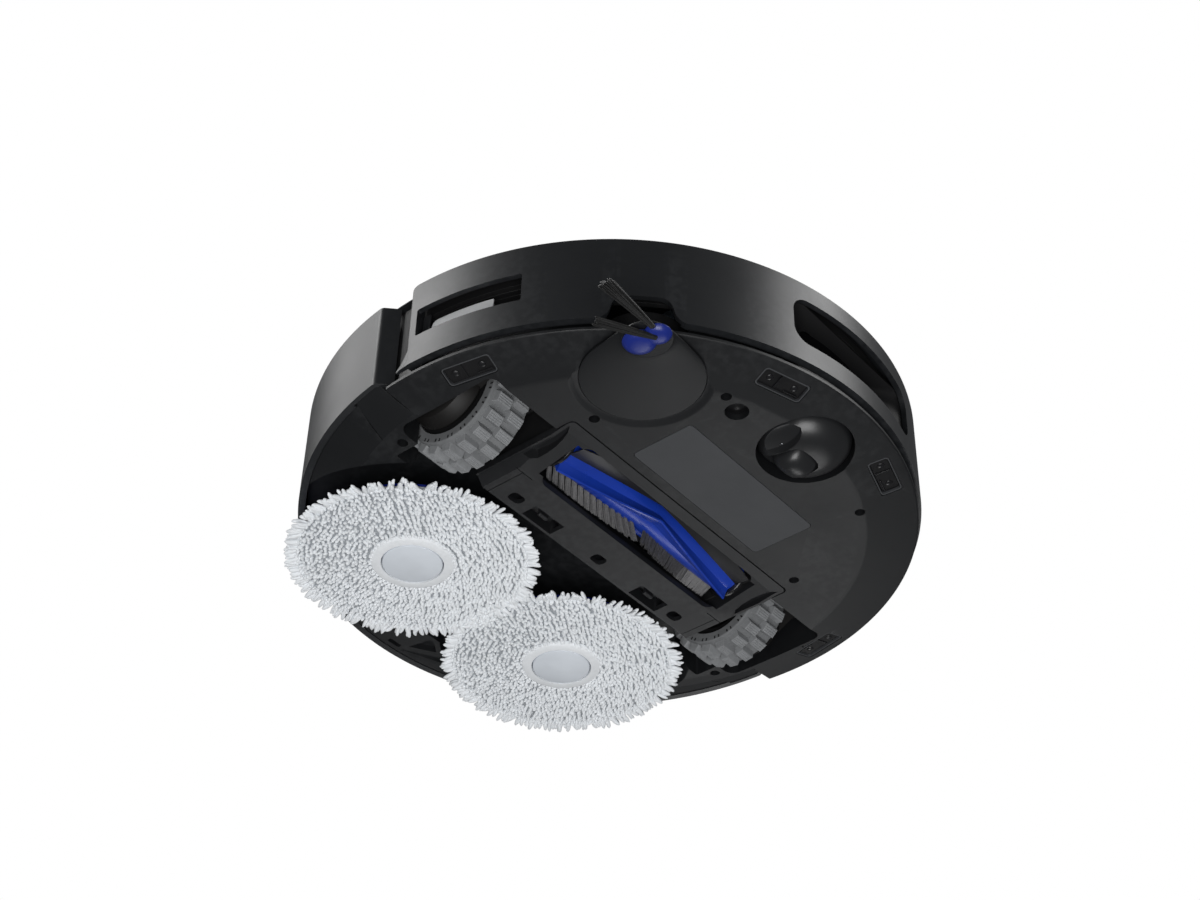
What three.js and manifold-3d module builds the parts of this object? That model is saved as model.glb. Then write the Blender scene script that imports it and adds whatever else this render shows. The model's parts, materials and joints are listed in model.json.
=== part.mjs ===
// A robot vacuum with two spinning mops, in millimetres.
// +Z is up and -Y is the way it drives, so its own left side is +X.
// The origin is on the floor, under the middle of the body.
import * as THREE from "three";
import { mergeVertices } from "three/addons/utils/BufferGeometryUtils.js";
import Module from "manifold-3d";

const wasm = await Module();
wasm.setup();

// ---------- driving dimensions ----------
const BODY_R = 175; // outside of the bumper and of the rear shell
const WALL = 3;
const GAP = 0.3; // between pieces that touch
const FRONT_Y = -2; // centre of the bumper's circle
const REAR_Y = 5; // centre of the rear shell's circle
const BASE_Z = 10.5; // flat underside above the floor
const BASE_EDGE_Z = 16; // underside where it has risen to its rim
const BASE_FLAT_R = 143;
const BASE_R = 173;
const BASE_TOP = 34;
const PANEL_Y = 39; // where the base gives way to the rear shell at its rim
const FLANGE_R = 162; // inside of the rear shell's turned-in flange
const FLOOR = 2.7; // floor of the compartments inside the base
const BEYOND = 200; // longer than the whole body, for cutting tools
const CORE_R = 165.5; // inner wall behind the bumper
const BUMPER_Z = 22.5;
const RIM_Z = 79.5;
const DECK_Z = 82;
const COVER_R = 168; // top cover, inside the turned-in tops of the bumper and the rear shell
const TOP_FLANGE = { r: 166.5, z: 77.9 };
const BUMPER_END = 90.6; // degrees from straight ahead
const BUMPER_TIP = 92.3; // end of the bumper's lower lip
const SHELL_START = 94.6;

const WHEEL = { x: 118, y: 3, z: 36, r: 36, base: 31.5, width: 28, rim: 25 };
const WHEEL_PIVOT = { y: -33, z: 42, r: 2.5 };
const WELL = { x0: 97, x1: 149, y0: -42, y1: 25, inner: 134, rear: 41 };

const BRUSH = { y: -26, z: 22.5, r: 20, core: 9, half: 75, journal: 4 };
const COVER = { x: 96.7, y0: -53.2, y1: 16.3, strip: 3.8, window: 77 };
const CHAMBER = { x: 94.7, y0: -50.2, y1: 14, z0: 14, z1: 48 };

const CASTER = { y: -135.5, r: 26.5, trail: 6.5, wheel: 11.5, width: 19 };

const ARM = { x: -100, y: -103, r: 30, hubX: -25.5, hubY: -23.5 };
const SIDE_HUB = { z0: 2.4, z1: 6.5, lobe: 6.2 };

const MOP = { x: 65.8, y: 92.2, pad: 65.4, plate: 64.5, cap: 17.4 };
const BAY = { r: 76.5, ceiling: 32, y0: 16.9 };

const BIN = { x: 78, y0: -138, y1: 8, z0: 48.6, z1: 76, wall: 2 };
const LID = { x: 100, y0: -140, y1: 8, corner: 12 };
const TURRET = { y: 66, r: 45, top: 101 };

// ---------- materials ----------
const paints = {
  body: { color: 0x16181a, roughness: 0.42, metalness: 0 },
  base: { color: 0x1c1e20, roughness: 0.6, metalness: 0 },
  inner: { color: 0x0c0d0e, roughness: 0.75, metalness: 0 },
  label: { color: 0x3a3b3e, roughness: 0.7, metalness: 0 },
  glass: { color: 0x050506, roughness: 0.08, metalness: 0 },
  gloss: { color: 0x08080a, roughness: 0.15, metalness: 0 },
  blue: { color: 0x143cbe, roughness: 0.3, metalness: 0 },
  hub: { color: 0x1e2d96, roughness: 0.35, metalness: 0 },
  bristle: { color: 0x6f6f6f, roughness: 0.8, metalness: 0 },
  tyre: { color: 0x8e9194, roughness: 0.75, metalness: 0 },
  pad: { color: 0xd5d9de, roughness: 0.95, metalness: 0 },
  cap: { color: 0xc3c9d2, roughness: 0.5, metalness: 0 },
  steel: { color: 0xb0b4b8, roughness: 0.3, metalness: 1 },
  brass: { color: 0xc9a24a, roughness: 0.35, metalness: 1 },
  board: { color: 0x1d5c34, roughness: 0.6, metalness: 0 },
  tank: { color: 0x5a6470, roughness: 0.2, metalness: 0 },
};
const materials = Object.fromEntries(
  Object.entries(paints).map(([name, look]) => [name, new THREE.MeshStandardMaterial(look)]),
);

// ---------- solids ----------
function solid(geometry) {
  const bare = geometry.clone();
  bare.deleteAttribute("normal");
  bare.deleteAttribute("uv");
  const merged = mergeVertices(bare, 1e-4);
  return new wasm.Manifold(
    new wasm.Mesh({
      numProp: 3,
      vertProperties: Float32Array.from(merged.attributes.position.array),
      triVerts: Uint32Array.from(merged.index.array),
    }),
  );
}

function geometryOf(manifold) {
  const mesh = manifold.getMesh();
  const geometry = new THREE.BufferGeometry();
  geometry.setAttribute("position", new THREE.BufferAttribute(mesh.vertProperties.slice(), 3));
  geometry.setIndex(new THREE.BufferAttribute(mesh.triVerts.slice(), 1));
  return geometry;
}

const cut = (from, ...tools) => tools.reduce((left, tool) => left.subtract(tool), from);
const join = (first, ...rest) => rest.reduce((sum, piece) => sum.add(piece), first);

function box(x0, x1, y0, y1, z0, z1) {
  const geometry = new THREE.BoxGeometry(x1 - x0, y1 - y0, z1 - z0);
  geometry.translate((x0 + x1) / 2, (y0 + y1) / 2, (z0 + z1) / 2);
  return solid(geometry);
}

// A shape of the XY plane, raised from z0 to z1.
function prism(shape, z0, z1, curveSegments = 3) {
  const geometry = new THREE.ExtrudeGeometry(shape, {
    depth: z1 - z0,
    bevelEnabled: false,
    curveSegments,
  });
  geometry.translate(0, 0, z0);
  return solid(geometry);
}

// A shape of the YZ plane, drawn along X from x0 to x1.
function prismX(shape, x0, x1, curveSegments = 3) {
  const geometry = new THREE.ExtrudeGeometry(shape, {
    depth: x1 - x0,
    bevelEnabled: false,
    curveSegments,
  });
  geometry.applyMatrix4(new THREE.Matrix4().set(0, 0, 1, x0, 1, 0, 0, 0, 0, 1, 0, 0, 0, 0, 0, 1));
  return solid(geometry);
}

function cylinder(x, y, z0, z1, r, sides = 32, topR = r) {
  const geometry = new THREE.CylinderGeometry(topR, r, z1 - z0, sides);
  geometry.rotateX(Math.PI / 2);
  geometry.translate(x, y, (z0 + z1) / 2);
  return solid(geometry);
}

function cylinderX(x0, x1, y, z, r, sides = 24) {
  const geometry = new THREE.CylinderGeometry(r, r, x1 - x0, sides);
  geometry.rotateZ(Math.PI / 2);
  geometry.translate((x0 + x1) / 2, y, z);
  return solid(geometry);
}

// A profile of [radius, height] pairs, from the bottom of its axis to the top, turned about Z.
function turned(profile, x, y, sides = 32) {
  const points = profile.map(([r, z]) => new THREE.Vector2(r, z));
  const geometry = new THREE.LatheGeometry(points, sides);
  geometry.rotateX(Math.PI / 2);
  geometry.translate(x, y, 0);
  return solid(geometry);
}

// Sections of equally many points, joined in order and closed by a flat fan at each end.
function loft(sections) {
  const count = sections[0].length;
  const positions = sections.flat().flatMap((point) => [point.x, point.y, point.z]);
  const faces = [];
  for (let s = 0; s + 1 < sections.length; s++)
    for (let i = 0; i < count; i++) {
      const a = s * count + i;
      const b = s * count + ((i + 1) % count);
      faces.push(a, b, b + count, a, b + count, a + count);
    }
  const last = (sections.length - 1) * count;
  for (let i = 1; i + 1 < count; i++) {
    faces.push(0, i + 1, i);
    faces.push(last, last + i, last + i + 1);
  }
  const geometry = new THREE.BufferGeometry();
  geometry.setAttribute("position", new THREE.Float32BufferAttribute(positions, 3));
  geometry.setIndex(faces);
  const made = solid(geometry);
  if (made.volume() > 0) return made;
  geometry.setIndex(faces.reverse());
  return solid(geometry);
}

// ---------- outlines ----------
// Angles are in degrees from straight ahead, positive towards the robot's left.
const rad = THREE.MathUtils.degToRad;
const polar = (angle, r, z, centreY = FRONT_Y) =>
  new THREE.Vector3(r * Math.sin(rad(angle)), centreY - r * Math.cos(rad(angle)), z);

function roundedRectangle(x0, x1, y0, y1, r) {
  const shape = new THREE.Shape();
  shape.absarc(x1 - r, y0 + r, r, -Math.PI / 2, 0);
  shape.absarc(x1 - r, y1 - r, r, 0, Math.PI / 2);
  shape.absarc(x0 + r, y1 - r, r, Math.PI / 2, Math.PI);
  shape.absarc(x0 + r, y0 + r, r, Math.PI, 1.5 * Math.PI);
  return shape;
}

// The outline of the whole body: a front and a rear half circle joined by short straight sides.
function bodyOutline(r) {
  const shape = new THREE.Shape();
  shape.absarc(0, FRONT_Y, r, Math.PI, 2 * Math.PI);
  shape.absarc(0, REAR_Y, r, 0, Math.PI);
  return shape;
}

// A stretch of round wall between two radii and two angles.
function arcWall(r0, r1, a0, a1, z0, z1, centreY = FRONT_Y) {
  const steps = Math.max(2, Math.round(Math.abs(a1 - a0) / 5));
  const points = [];
  for (let i = 0; i <= steps; i++) points.push(polar(a0 + ((a1 - a0) * i) / steps, r1, 0, centreY));
  for (let i = steps; i >= 0; i--) points.push(polar(a0 + ((a1 - a0) * i) / steps, r0, 0, centreY));
  return prism(new THREE.Shape(points.map((p) => new THREE.Vector2(p.x, p.y))), z0, z1);
}

// A shape of (sideways, up), driven outwards at an angle from radius r0 to r1.
function radialPrism(shape, angle, r0, r1, centreY = FRONT_Y) {
  const geometry = new THREE.ExtrudeGeometry(shape, {
    depth: r1 - r0,
    bevelEnabled: false,
    curveSegments: 3,
  });
  geometry.translate(0, 0, r0);
  const along = new THREE.Vector3(Math.cos(rad(angle)), Math.sin(rad(angle)), 0);
  const up = new THREE.Vector3(0, 0, 1);
  const out = new THREE.Vector3(Math.sin(rad(angle)), -Math.cos(rad(angle)), 0);
  geometry.applyMatrix4(new THREE.Matrix4().makeBasis(along, up, out));
  geometry.translate(0, centreY, 0);
  return solid(geometry);
}

// The outline of a belt round two circles.
function beltOutline(y1, z1, r1, y2, z2, r2) {
  const steps = 10;
  const heading = Math.atan2(z2 - z1, y2 - y1);
  const spread = Math.acos((r1 - r2) / Math.hypot(y2 - y1, z2 - z1));
  const points = [];
  for (let i = 0; i <= steps; i++) {
    const angle = heading + spread + ((2 * Math.PI - 2 * spread) * i) / steps;
    points.push(new THREE.Vector2(y1 + r1 * Math.cos(angle), z1 + r1 * Math.sin(angle)));
  }
  for (let i = 0; i <= steps; i++) {
    const angle = heading - spread + (2 * spread * i) / steps;
    points.push(new THREE.Vector2(y2 + r2 * Math.cos(angle), z2 + r2 * Math.sin(angle)));
  }
  return new THREE.Shape(points);
}

// A circle of points for a loft.
function ring(x, y, z, r, sides) {
  const points = [];
  for (let i = 0; i < sides; i++) {
    const angle = (2 * Math.PI * i) / sides;
    points.push(new THREE.Vector3(x + r * Math.cos(angle), y + r * Math.sin(angle), z));
  }
  return points;
}

// A flat box laid on the sloping rim of the underside.
function slopeBlock(angle, r, along, across, below, above) {
  const slope = Math.atan2(BASE_EDGE_Z - BASE_Z, BASE_R - BASE_FLAT_R);
  const geometry = new THREE.BoxGeometry(along, across, above - below);
  geometry.translate(0, 0, (above + below) / 2);
  geometry.rotateX(-slope);
  geometry.rotateZ(rad(angle));
  const height = BASE_Z + (r - BASE_FLAT_R) * Math.tan(slope);
  const place = polar(angle, r, height);
  geometry.translate(place.x, place.y, place.z);
  return solid(geometry);
}

// ---------- scene graph ----------
const root = new THREE.Group();

function group(parent = root) {
  const child = new THREE.Group();
  parent.add(child);
  return child;
}

function add(parent, name, manifold, paint, side = 1) {
  const mesh = new THREE.Mesh(geometryOf(manifold), materials[paint]);
  mesh.name = name;
  mesh.scale.x = side;
  parent.add(mesh);
}

const sides = [
  ["right", -1],
  ["left", 1],
];

// ---------- chassis: underside ----------
const chassis = group();
const CLIFFS = [
  ["front", 17.4, 160.4],
  ["side", 78.6, 161.2],
];
const CLIFF_SIZE = { along: 30, across: 12.5 };
const SCREWS = [
  [62, -128.7],
  [91, -63],
  [139.5, 31],
];
const LABEL = { x: 56, y0: -101, y1: -60.5 };
const BATTERY = { x0: -60, x1: 60, y0: -106, y1: -57, top: 46 };
const COMPARTMENT = { x0: 67, x1: 105, y0: -103, y1: -58 };
const SLIT = { x0: 150.5, x1: 154.5, y0: -53, y1: -26 };
const CARPET = { x: -49, y: -126, r: 6.5 };

function wellShape() {
  const { x0, x1, y0, y1, inner, rear } = WELL;
  const round = 6;
  const shape = new THREE.Shape();
  shape.moveTo(x0 - 1, y0);
  shape.lineTo(x1 - round, y0);
  shape.absarc(x1 - round, y0 + round, round, -Math.PI / 2, 0);
  shape.absarc(x1 - round, y1 - round, round, 0, Math.PI / 2);
  shape.lineTo(inner, y1);
  shape.absarc(inner - 1.5, rear - 1.5, 1.5, 0, Math.PI / 2);
  shape.lineTo(x0 - 1, rear);
  return shape;
}

function bayTools() {
  const circles = sides.map(([, side]) =>
    cylinder(side * MOP.x, MOP.y, 0, BAY.ceiling, BAY.r, 40),
  );
  return [
    ...circles,
    box(-COVER.x - GAP, COVER.x + GAP, BAY.y0, MOP.y, 0, BAY.ceiling),
    box(-60, 60, MOP.y, BEYOND, 0, BAY.ceiling),
  ];
}

function chassisBase() {
  const disc = turned(
    [
      [0, BASE_Z],
      [BASE_FLAT_R, BASE_Z],
      [BASE_R, BASE_EDGE_Z],
      [BASE_R, BASE_EDGE_Z + 2.2],
      [CORE_R, BASE_EDGE_Z + 2.2],
      [CORE_R, BASE_TOP],
      [0, BASE_TOP],
    ],
    0,
    FRONT_Y,
    72,
  );
  const brushHole = box(-COVER.x - GAP, COVER.x + GAP, COVER.y0 - GAP, COVER.y1 + GAP, 0, 60);
  const tools = [brushHole, ...bayTools()];
  const outside = arcWall(FLANGE_R - GAP, BEYOND, 100, 260, 0, 60, REAR_Y);
  tools.push(outside.intersect(box(-BEYOND, BEYOND, PANEL_Y, BEYOND, 0, 60)));
  for (const [, side] of sides) {
    tools.push(prism(wellShape(), 0, 60).scale([side, 1, 1]));
    for (const [, angle, r] of CLIFFS)
      tools.push(
        slopeBlock(side * angle, r, CLIFF_SIZE.along + 1, CLIFF_SIZE.across + 1, -3, 3.5),
      );
    for (const [x, y] of SCREWS) tools.push(cylinder(side * x, y, 0, BASE_Z + 5, 2.8, 10));
  }
  tools.push(cylinder(0, CASTER.y, 0, 31, CASTER.r + 1, 32));
  tools.push(cylinder(ARM.x, ARM.y, 0, 22, ARM.r + 0.6, 36));
  tools.push(cylinder(CARPET.x, CARPET.y, 0, 15, CARPET.r, 20));
  tools.push(
    prism(roundedRectangle(-LABEL.x, LABEL.x, LABEL.y0, LABEL.y1, 3), 0, BASE_Z + 0.9, 3),
  );
  tools.push(box(SLIT.x0, SLIT.x1, SLIT.y0, SLIT.y1, 0, BASE_Z + 3));
  const room = 1;
  for (const { x0, x1, y0, y1 } of [BATTERY, COMPARTMENT])
    tools.push(box(x0 - room, x1 + room, y0 - room, y1 + room, BASE_Z + FLOOR, 60));
  return cut(disc, ...tools);
}
add(chassis, "chassis_base", chassisBase(), "base");

add(
  chassis,
  "label_plate",
  prism(
    roundedRectangle(
      -LABEL.x + GAP,
      LABEL.x - GAP,
      LABEL.y0 + GAP,
      LABEL.y1 - GAP,
      2.7,
    ),
    BASE_Z - 0.2,
    BASE_Z + 0.6,
    3,
  ),
  "label",
);
add(
  chassis,
  "carpet_sensor",
  cylinder(CARPET.x, CARPET.y, BASE_Z + 0.3, BASE_Z + 4, CARPET.r - GAP, 20),
  "gloss",
);
for (const [sideName, side] of sides)
  for (const [place, angle, r] of CLIFFS)
    add(
      chassis,
      `cliff_window_${place}_${sideName}`,
      slopeBlock(side * angle, r, CLIFF_SIZE.along, CLIFF_SIZE.across, 0.3, 3),
      "glass",
    );

// ---------- chassis: inner frame, shells and deck ----------
const POCKET = { angle: 18, z0: 35.5, z1: 67.5, corner: 10 };
const SIDE_WINDOW = { angle: -77.5, half: 31.9, z0: 41, z1: 60 };

function innerFrame() {
  const wall = arcWall(CORE_R - WALL, CORE_R, -97, 97, BASE_TOP + GAP, TOP_FLANGE.z - GAP);
  return cut(
    wall,
    arcWall(150, 180, -22.5, 22.5, POCKET.z0 - 5, POCKET.z1 + 3.5),
    arcWall(150, 180, -90, -65, SIDE_WINDOW.z0 - 2, SIDE_WINDOW.z1 + 2),
  );
}
add(chassis, "inner_frame", innerFrame(), "inner");

function sideSensorHousing() {
  const { z0, z1 } = SIDE_WINDOW;
  const outer = arcWall(157.5, 163, -89.5, -65.5, z0 - 1.5, z1 + 1.5);
  const hollow = arcWall(159, 170, -88.5, -66.5, z0, z1);
  const shelf = arcWall(158, 162.5, -89, -66, z0 + 9, z0 + 10.2);
  return join(cut(outer, hollow), shelf);
}
add(chassis, "side_sensor_housing", sideSensorHousing(), "inner");

// The rear shell's lower edge drops from its front ends to the back.
function belowTheShell(lift) {
  const low = new THREE.Vector2(BODY_R + REAR_Y, 16 + lift);
  const high = new THREE.Vector2(23, 23.5 + lift);
  const slope = (high.y - low.y) / (high.x - low.x);
  const shape = new THREE.Shape([
    new THREE.Vector2(-20, high.y + slope * (-20 - high.x)),
    new THREE.Vector2(-20, -20),
    new THREE.Vector2(220, -20),
    new THREE.Vector2(220, low.y + slope * (220 - low.x)),
  ]);
  return prismX(shape, -BEYOND, BEYOND);
}

// A block set in the back wall where the dock's charging pins press.
function contactBlock(side, half, r0, r1) {
  const shape = new THREE.Shape([
    new THREE.Vector2(-half, 33 - half + 2),
    new THREE.Vector2(half, 33 - half + 2),
    new THREE.Vector2(half, 33 + half - 2),
    new THREE.Vector2(-half, 33 + half - 2),
  ]);
  return radialPrism(shape, 180 - 10 * side, r0, r1, REAR_Y);
}

function rearShell() {
  const end = 360 - SHELL_START;
  const inner = BODY_R - WALL;
  const wall = arcWall(inner, BODY_R, SHELL_START, end, 10, RIM_Z, REAR_Y);
  const slant = new THREE.Shape([
    new THREE.Vector2(174.4, 19.1),
    new THREE.Vector2(166.6, 11.2),
    new THREE.Vector2(166.6, 14),
    new THREE.Vector2(171.2, 19.6),
  ]);
  const returns = sides.map(([, side]) => prism(slant, 10, RIM_Z).scale([side, 1, 1]));
  const rim = arcWall(TOP_FLANGE.r, inner + 1, SHELL_START + 1, end - 1, TOP_FLANGE.z, RIM_Z, REAR_Y);
  const flangeRing = arcWall(FLANGE_R, inner + 1, 100, 260, 10, 40, REAR_Y);
  const behind = box(-BEYOND, BEYOND, PANEL_Y + GAP, BEYOND, 0, 60);
  const flange = flangeRing.intersect(cut(behind, ...bayTools())).intersect(belowTheShell(2.5));
  const plateSweep = sides.map(([, side]) =>
    cylinder(side * MOP.x, MOP.y, 0, 17, MOP.plate + 2, 48),
  );
  const contacts = sides.map(([, side]) => contactBlock(side, 7, 160, 180));
  return cut(join(wall, ...returns, rim, flange), belowTheShell(0), ...plateSweep, ...contacts);
}
add(chassis, "rear_shell", rearShell(), "body");

for (const [sideName, side] of sides)
  add(chassis, `charge_contact_${sideName}`, contactBlock(side, 7 - GAP, 171.5, 173.3), "brass");

const BUTTON = { y: -154.5, r: 6.5 };
const BUTTONS = [
  ["power_button", -13],
  ["dock_button", 13],
];

function topCover() {
  const disc = join(
    prism(bodyOutline(COVER_R), RIM_Z + 0.4, DECK_Z - 0.8, 32),
    prism(bodyOutline(COVER_R - 1.5), RIM_Z + 1, DECK_Z, 32),
  );
  const lidHole = prism(roundedRectangle(-LID.x, LID.x, LID.y0, LID.y1, LID.corner), 70, 95, 5);
  const buttonHoles = BUTTONS.map(([, x]) => cylinder(x, BUTTON.y, 70, 95, BUTTON.r + 0.4, 20));
  return cut(disc, lidHole, ...buttonHoles);
}
add(chassis, "top_cover", topCover(), "body");

for (const [name, x] of BUTTONS) {
  const button = turned(
    [
      [0, RIM_Z + 1],
      [BUTTON.r, RIM_Z + 1],
      [BUTTON.r, DECK_Z],
      [BUTTON.r - 0.8, DECK_Z + 0.5],
      [0, DECK_Z + 0.5],
    ],
    x,
    BUTTON.y,
    20,
  );
  add(group(), name, button, "gloss");
}

function topLid() {
  const inset = 0.5;
  const panel = roundedRectangle(
    -LID.x + inset,
    LID.x - inset,
    LID.y0 + inset,
    LID.y1 - inset,
    LID.corner - inset,
  );
  const grip = cylinder(0, LID.y0 - 4, DECK_Z - 2, DECK_Z + 2, 16, 32);
  return cut(prism(panel, RIM_Z + 1, DECK_Z + 0.2, 5), grip);
}
add(group(), "top_lid", topLid(), "body");

// ---------- chassis: laser turret ----------
function turretCover() {
  const base = turned(
    [
      [0, DECK_Z + GAP],
      [TURRET.r, DECK_Z + GAP],
      [TURRET.r - 1, DECK_Z + 3.5],
      [0, DECK_Z + 3.5],
    ],
    0,
    TURRET.y,
    32,
  );
  const cap = turned(
    [
      [0, TURRET.top - 4.5],
      [TURRET.r - 1.5, TURRET.top - 4.5],
      [TURRET.r - 1.5, TURRET.top - 2],
      [TURRET.r - 4.5, TURRET.top],
      [0, TURRET.top],
    ],
    0,
    TURRET.y,
    32,
  );
  const posts = [60, 180, 300].map((angle) => {
    const place = polar(angle, TURRET.r - 4.5, 0, TURRET.y);
    return cylinder(place.x, place.y, DECK_Z + 2, TURRET.top - 3, 2.5, 10);
  });
  return join(base, cap, ...posts);
}
add(chassis, "turret_cover", turretCover(), "body");

function lidarHead() {
  const drum = turned(
    [
      [0, DECK_Z + 4],
      [33, DECK_Z + 4],
      [34, DECK_Z + 6],
      [34, TURRET.top - 6.5],
      [32.5, TURRET.top - 5.2],
      [0, TURRET.top - 5.2],
    ],
    0,
    TURRET.y,
    24,
  );
  const slot = box(-20, 20, TURRET.y - 40, TURRET.y - 28, DECK_Z + 6.5, TURRET.top - 7);
  return cut(drum, slot);
}
add(group(), "lidar_head", lidarHead(), "gloss");

// ---------- chassis: cleaning air path and electrics ----------
function brushChamber() {
  const { x, y0, y1, z0, z1 } = CHAMBER;
  const shell = box(-x, x, y0, y1, z0, z1);
  const brushSpace = box(-79, 79, y0 + 2.5, -4.5, z0 - 1, z1 - 2.5);
  const duct = box(-30, 30, -5, y1 - 2.5, 20, z1 + 1);
  const journals = cylinderX(-86, 86, BRUSH.y, BRUSH.z, BRUSH.journal + 0.4, 16);
  return cut(shell, brushSpace, duct, journals);
}
add(chassis, "brush_chamber", brushChamber(), "inner");

const LATCHES = [-48, 46];
const LATCH_OPENING = { half: 12, y0: 4, y1: 16 };

function brushCover() {
  const { x, y0, y1, strip, window } = COVER;
  const profile = new THREE.Shape([
    new THREE.Vector2(y0, BASE_Z),
    new THREE.Vector2(-46, BASE_Z),
    new THREE.Vector2(-30, 7.6),
    new THREE.Vector2(-11.5, strip),
    new THREE.Vector2(y1, strip),
    new THREE.Vector2(y1, 9),
    new THREE.Vector2(13.5, 13.6),
    new THREE.Vector2(y0, 13.6),
  ]);
  const tools = [
    prism(roundedRectangle(-window, window, -46, -11.2, 5), 0, 20, 4),
    box(-86, 86, -8.5, 13, strip + 3, 20),
    cylinderX(-80, 80, BRUSH.y, BRUSH.z, BRUSH.r + 1, 40),
  ];
  for (const centre of LATCHES)
    tools.push(
      box(
        centre - LATCH_OPENING.half,
        centre + LATCH_OPENING.half,
        LATCH_OPENING.y0,
        LATCH_OPENING.y1 - 1.5,
        0,
        20,
      ),
    );
  for (const centre of [-72, -1, 69])
    tools.push(prism(roundedRectangle(centre - 6, centre + 6, 4.5, 12.5, 2.5), 0, strip + 1.6, 3));
  for (const [, side] of sides) {
    const chamfer = new THREE.Shape([
      new THREE.Vector2(side * 91, 0),
      new THREE.Vector2(side * 120, 0),
      new THREE.Vector2(side * 120, 9),
      new THREE.Vector2(side * 95, 9),
      new THREE.Vector2(side * 91, strip),
    ]);
    const geometry = new THREE.ExtrudeGeometry(chamfer, { depth: 80, bevelEnabled: false });
    geometry.rotateX(Math.PI / 2);
    geometry.translate(0, 20, 0);
    tools.push(solid(geometry));
  }
  return cut(prismX(profile, -x, x), ...tools);
}
add(chassis, "brush_cover", brushCover(), "base");

LATCHES.forEach((centre, index) => {
  const { y0, y1 } = LATCH_OPENING;
  const tab = join(
    box(centre - 5, centre + 5, y0 + 3.4, y0 + 5.6, 4.6, 12),
    box(centre - 8, centre + 8, y0 + 0.5, y1 - 5, 9.6, 12),
  );
  add(group(), `brush_latch_${sides[index][0]}`, tab, "base");
});

function batteryPack() {
  const { x0, x1, y0, y1, top } = BATTERY;
  return box(x0, x1, y0, y1, BASE_Z + FLOOR + 0.4, top);
}
add(chassis, "battery_pack", batteryPack(), "inner");

function dustBin() {
  const { x, y0, y1, z0, z1, wall } = BIN;
  const inside = box(-x + wall, x - wall, y0 + wall, y1 - wall, z0 + wall, z1 + 5);
  const inlet = box(-28, 28, -4, y1 - wall - 0.5, z0 - 1, z0 + 5);
  return cut(box(-x, x, y0, y1, z0, z1), inside, inlet);
}
add(chassis, "dust_bin", dustBin(), "tank");
add(chassis, "dust_filter", box(54, 74, -130, -10, BIN.z0 + 4, BIN.z1 - 2), "cap");

add(
  chassis,
  "suction_fan",
  join(
    cylinder(-45, 37, BASE_TOP + 2, 74, 22, 24),
    box(-45, -18, 16, 37, BASE_TOP + 2, 54),
  ),
  "inner",
);
const tankShape = roundedRectangle(-80, 80, 60, 138, 25);
add(chassis, "water_tank", prism(tankShape, BASE_TOP + 2, 62, 4), "tank");
add(chassis, "main_board", box(-75, 75, 60, 138, 66, 67.6), "board");
add(chassis, "front_sensor_module", box(-30, 30, -150, -141, 40, 61), "inner");

function rearFairing() {
  const wedge = new THREE.Shape([
    new THREE.Vector2(140, BAY.ceiling - GAP),
    new THREE.Vector2(146, 20),
    new THREE.Vector2(160, 17.5),
    new THREE.Vector2(160, BAY.ceiling - GAP),
  ]);
  return prismX(wedge, -14, 14);
}
add(chassis, "rear_fairing", rearFairing(), "base");

// ---------- bumper ----------
const bumper = group();

function bumperShell() {
  const inner = BODY_R - WALL;
  const wall = arcWall(inner, BODY_R, -BUMPER_END, BUMPER_END, BUMPER_Z, RIM_Z);
  const lip = arcWall(170.6, BODY_R, -BUMPER_TIP, BUMPER_TIP, BUMPER_Z, BUMPER_Z + 1.6);
  const rim = arcWall(TOP_FLANGE.r, inner + 1, -BUMPER_END, BUMPER_END, TOP_FLANGE.z, RIM_Z);
  const returns = sides.map(([, side]) =>
    arcWall(168, inner + 1, side * (BUMPER_END - 1), side * BUMPER_END, BUMPER_Z, RIM_Z),
  );
  const notch = new THREE.Shape();
  notch.moveTo(-27, BUMPER_Z - 5);
  notch.lineTo(27, BUMPER_Z - 5);
  notch.lineTo(23, BUMPER_Z);
  notch.quadraticCurveTo(18, BUMPER_Z + 2, 16.5, BUMPER_Z + 8);
  notch.quadraticCurveTo(15, BUMPER_Z + 16, 8, BUMPER_Z + 16);
  notch.lineTo(-8, BUMPER_Z + 16);
  notch.quadraticCurveTo(-15, BUMPER_Z + 16, -16.5, BUMPER_Z + 8);
  notch.quadraticCurveTo(-18, BUMPER_Z + 2, -23, BUMPER_Z);
  const pocket = BODY_R * Math.sin(rad(POCKET.angle));
  return cut(
    join(wall, lip, rim, ...returns),
    radialPrism(notch, -46, 150, 190),
    radialPrism(
      roundedRectangle(-pocket, pocket, POCKET.z0, POCKET.z1, POCKET.corner),
      0,
      100,
      190,
    ),
    radialPrism(
      roundedRectangle(-SIDE_WINDOW.half, SIDE_WINDOW.half, SIDE_WINDOW.z0, SIDE_WINDOW.z1, 1.2),
      SIDE_WINDOW.angle,
      140,
      190,
    ),
  );
}
add(bumper, "bumper_shell", bumperShell(), "body");

// A rounded rectangle standing across the way ahead, as points for a loft.
function standingOutline(half, z0, z1, corner, y) {
  const shape = roundedRectangle(-half, half, z0, z1, corner);
  return shape
    .getSpacedPoints(28)
    .slice(0, -1)
    .map((point) => new THREE.Vector3(point.x, y, point.y));
}

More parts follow.
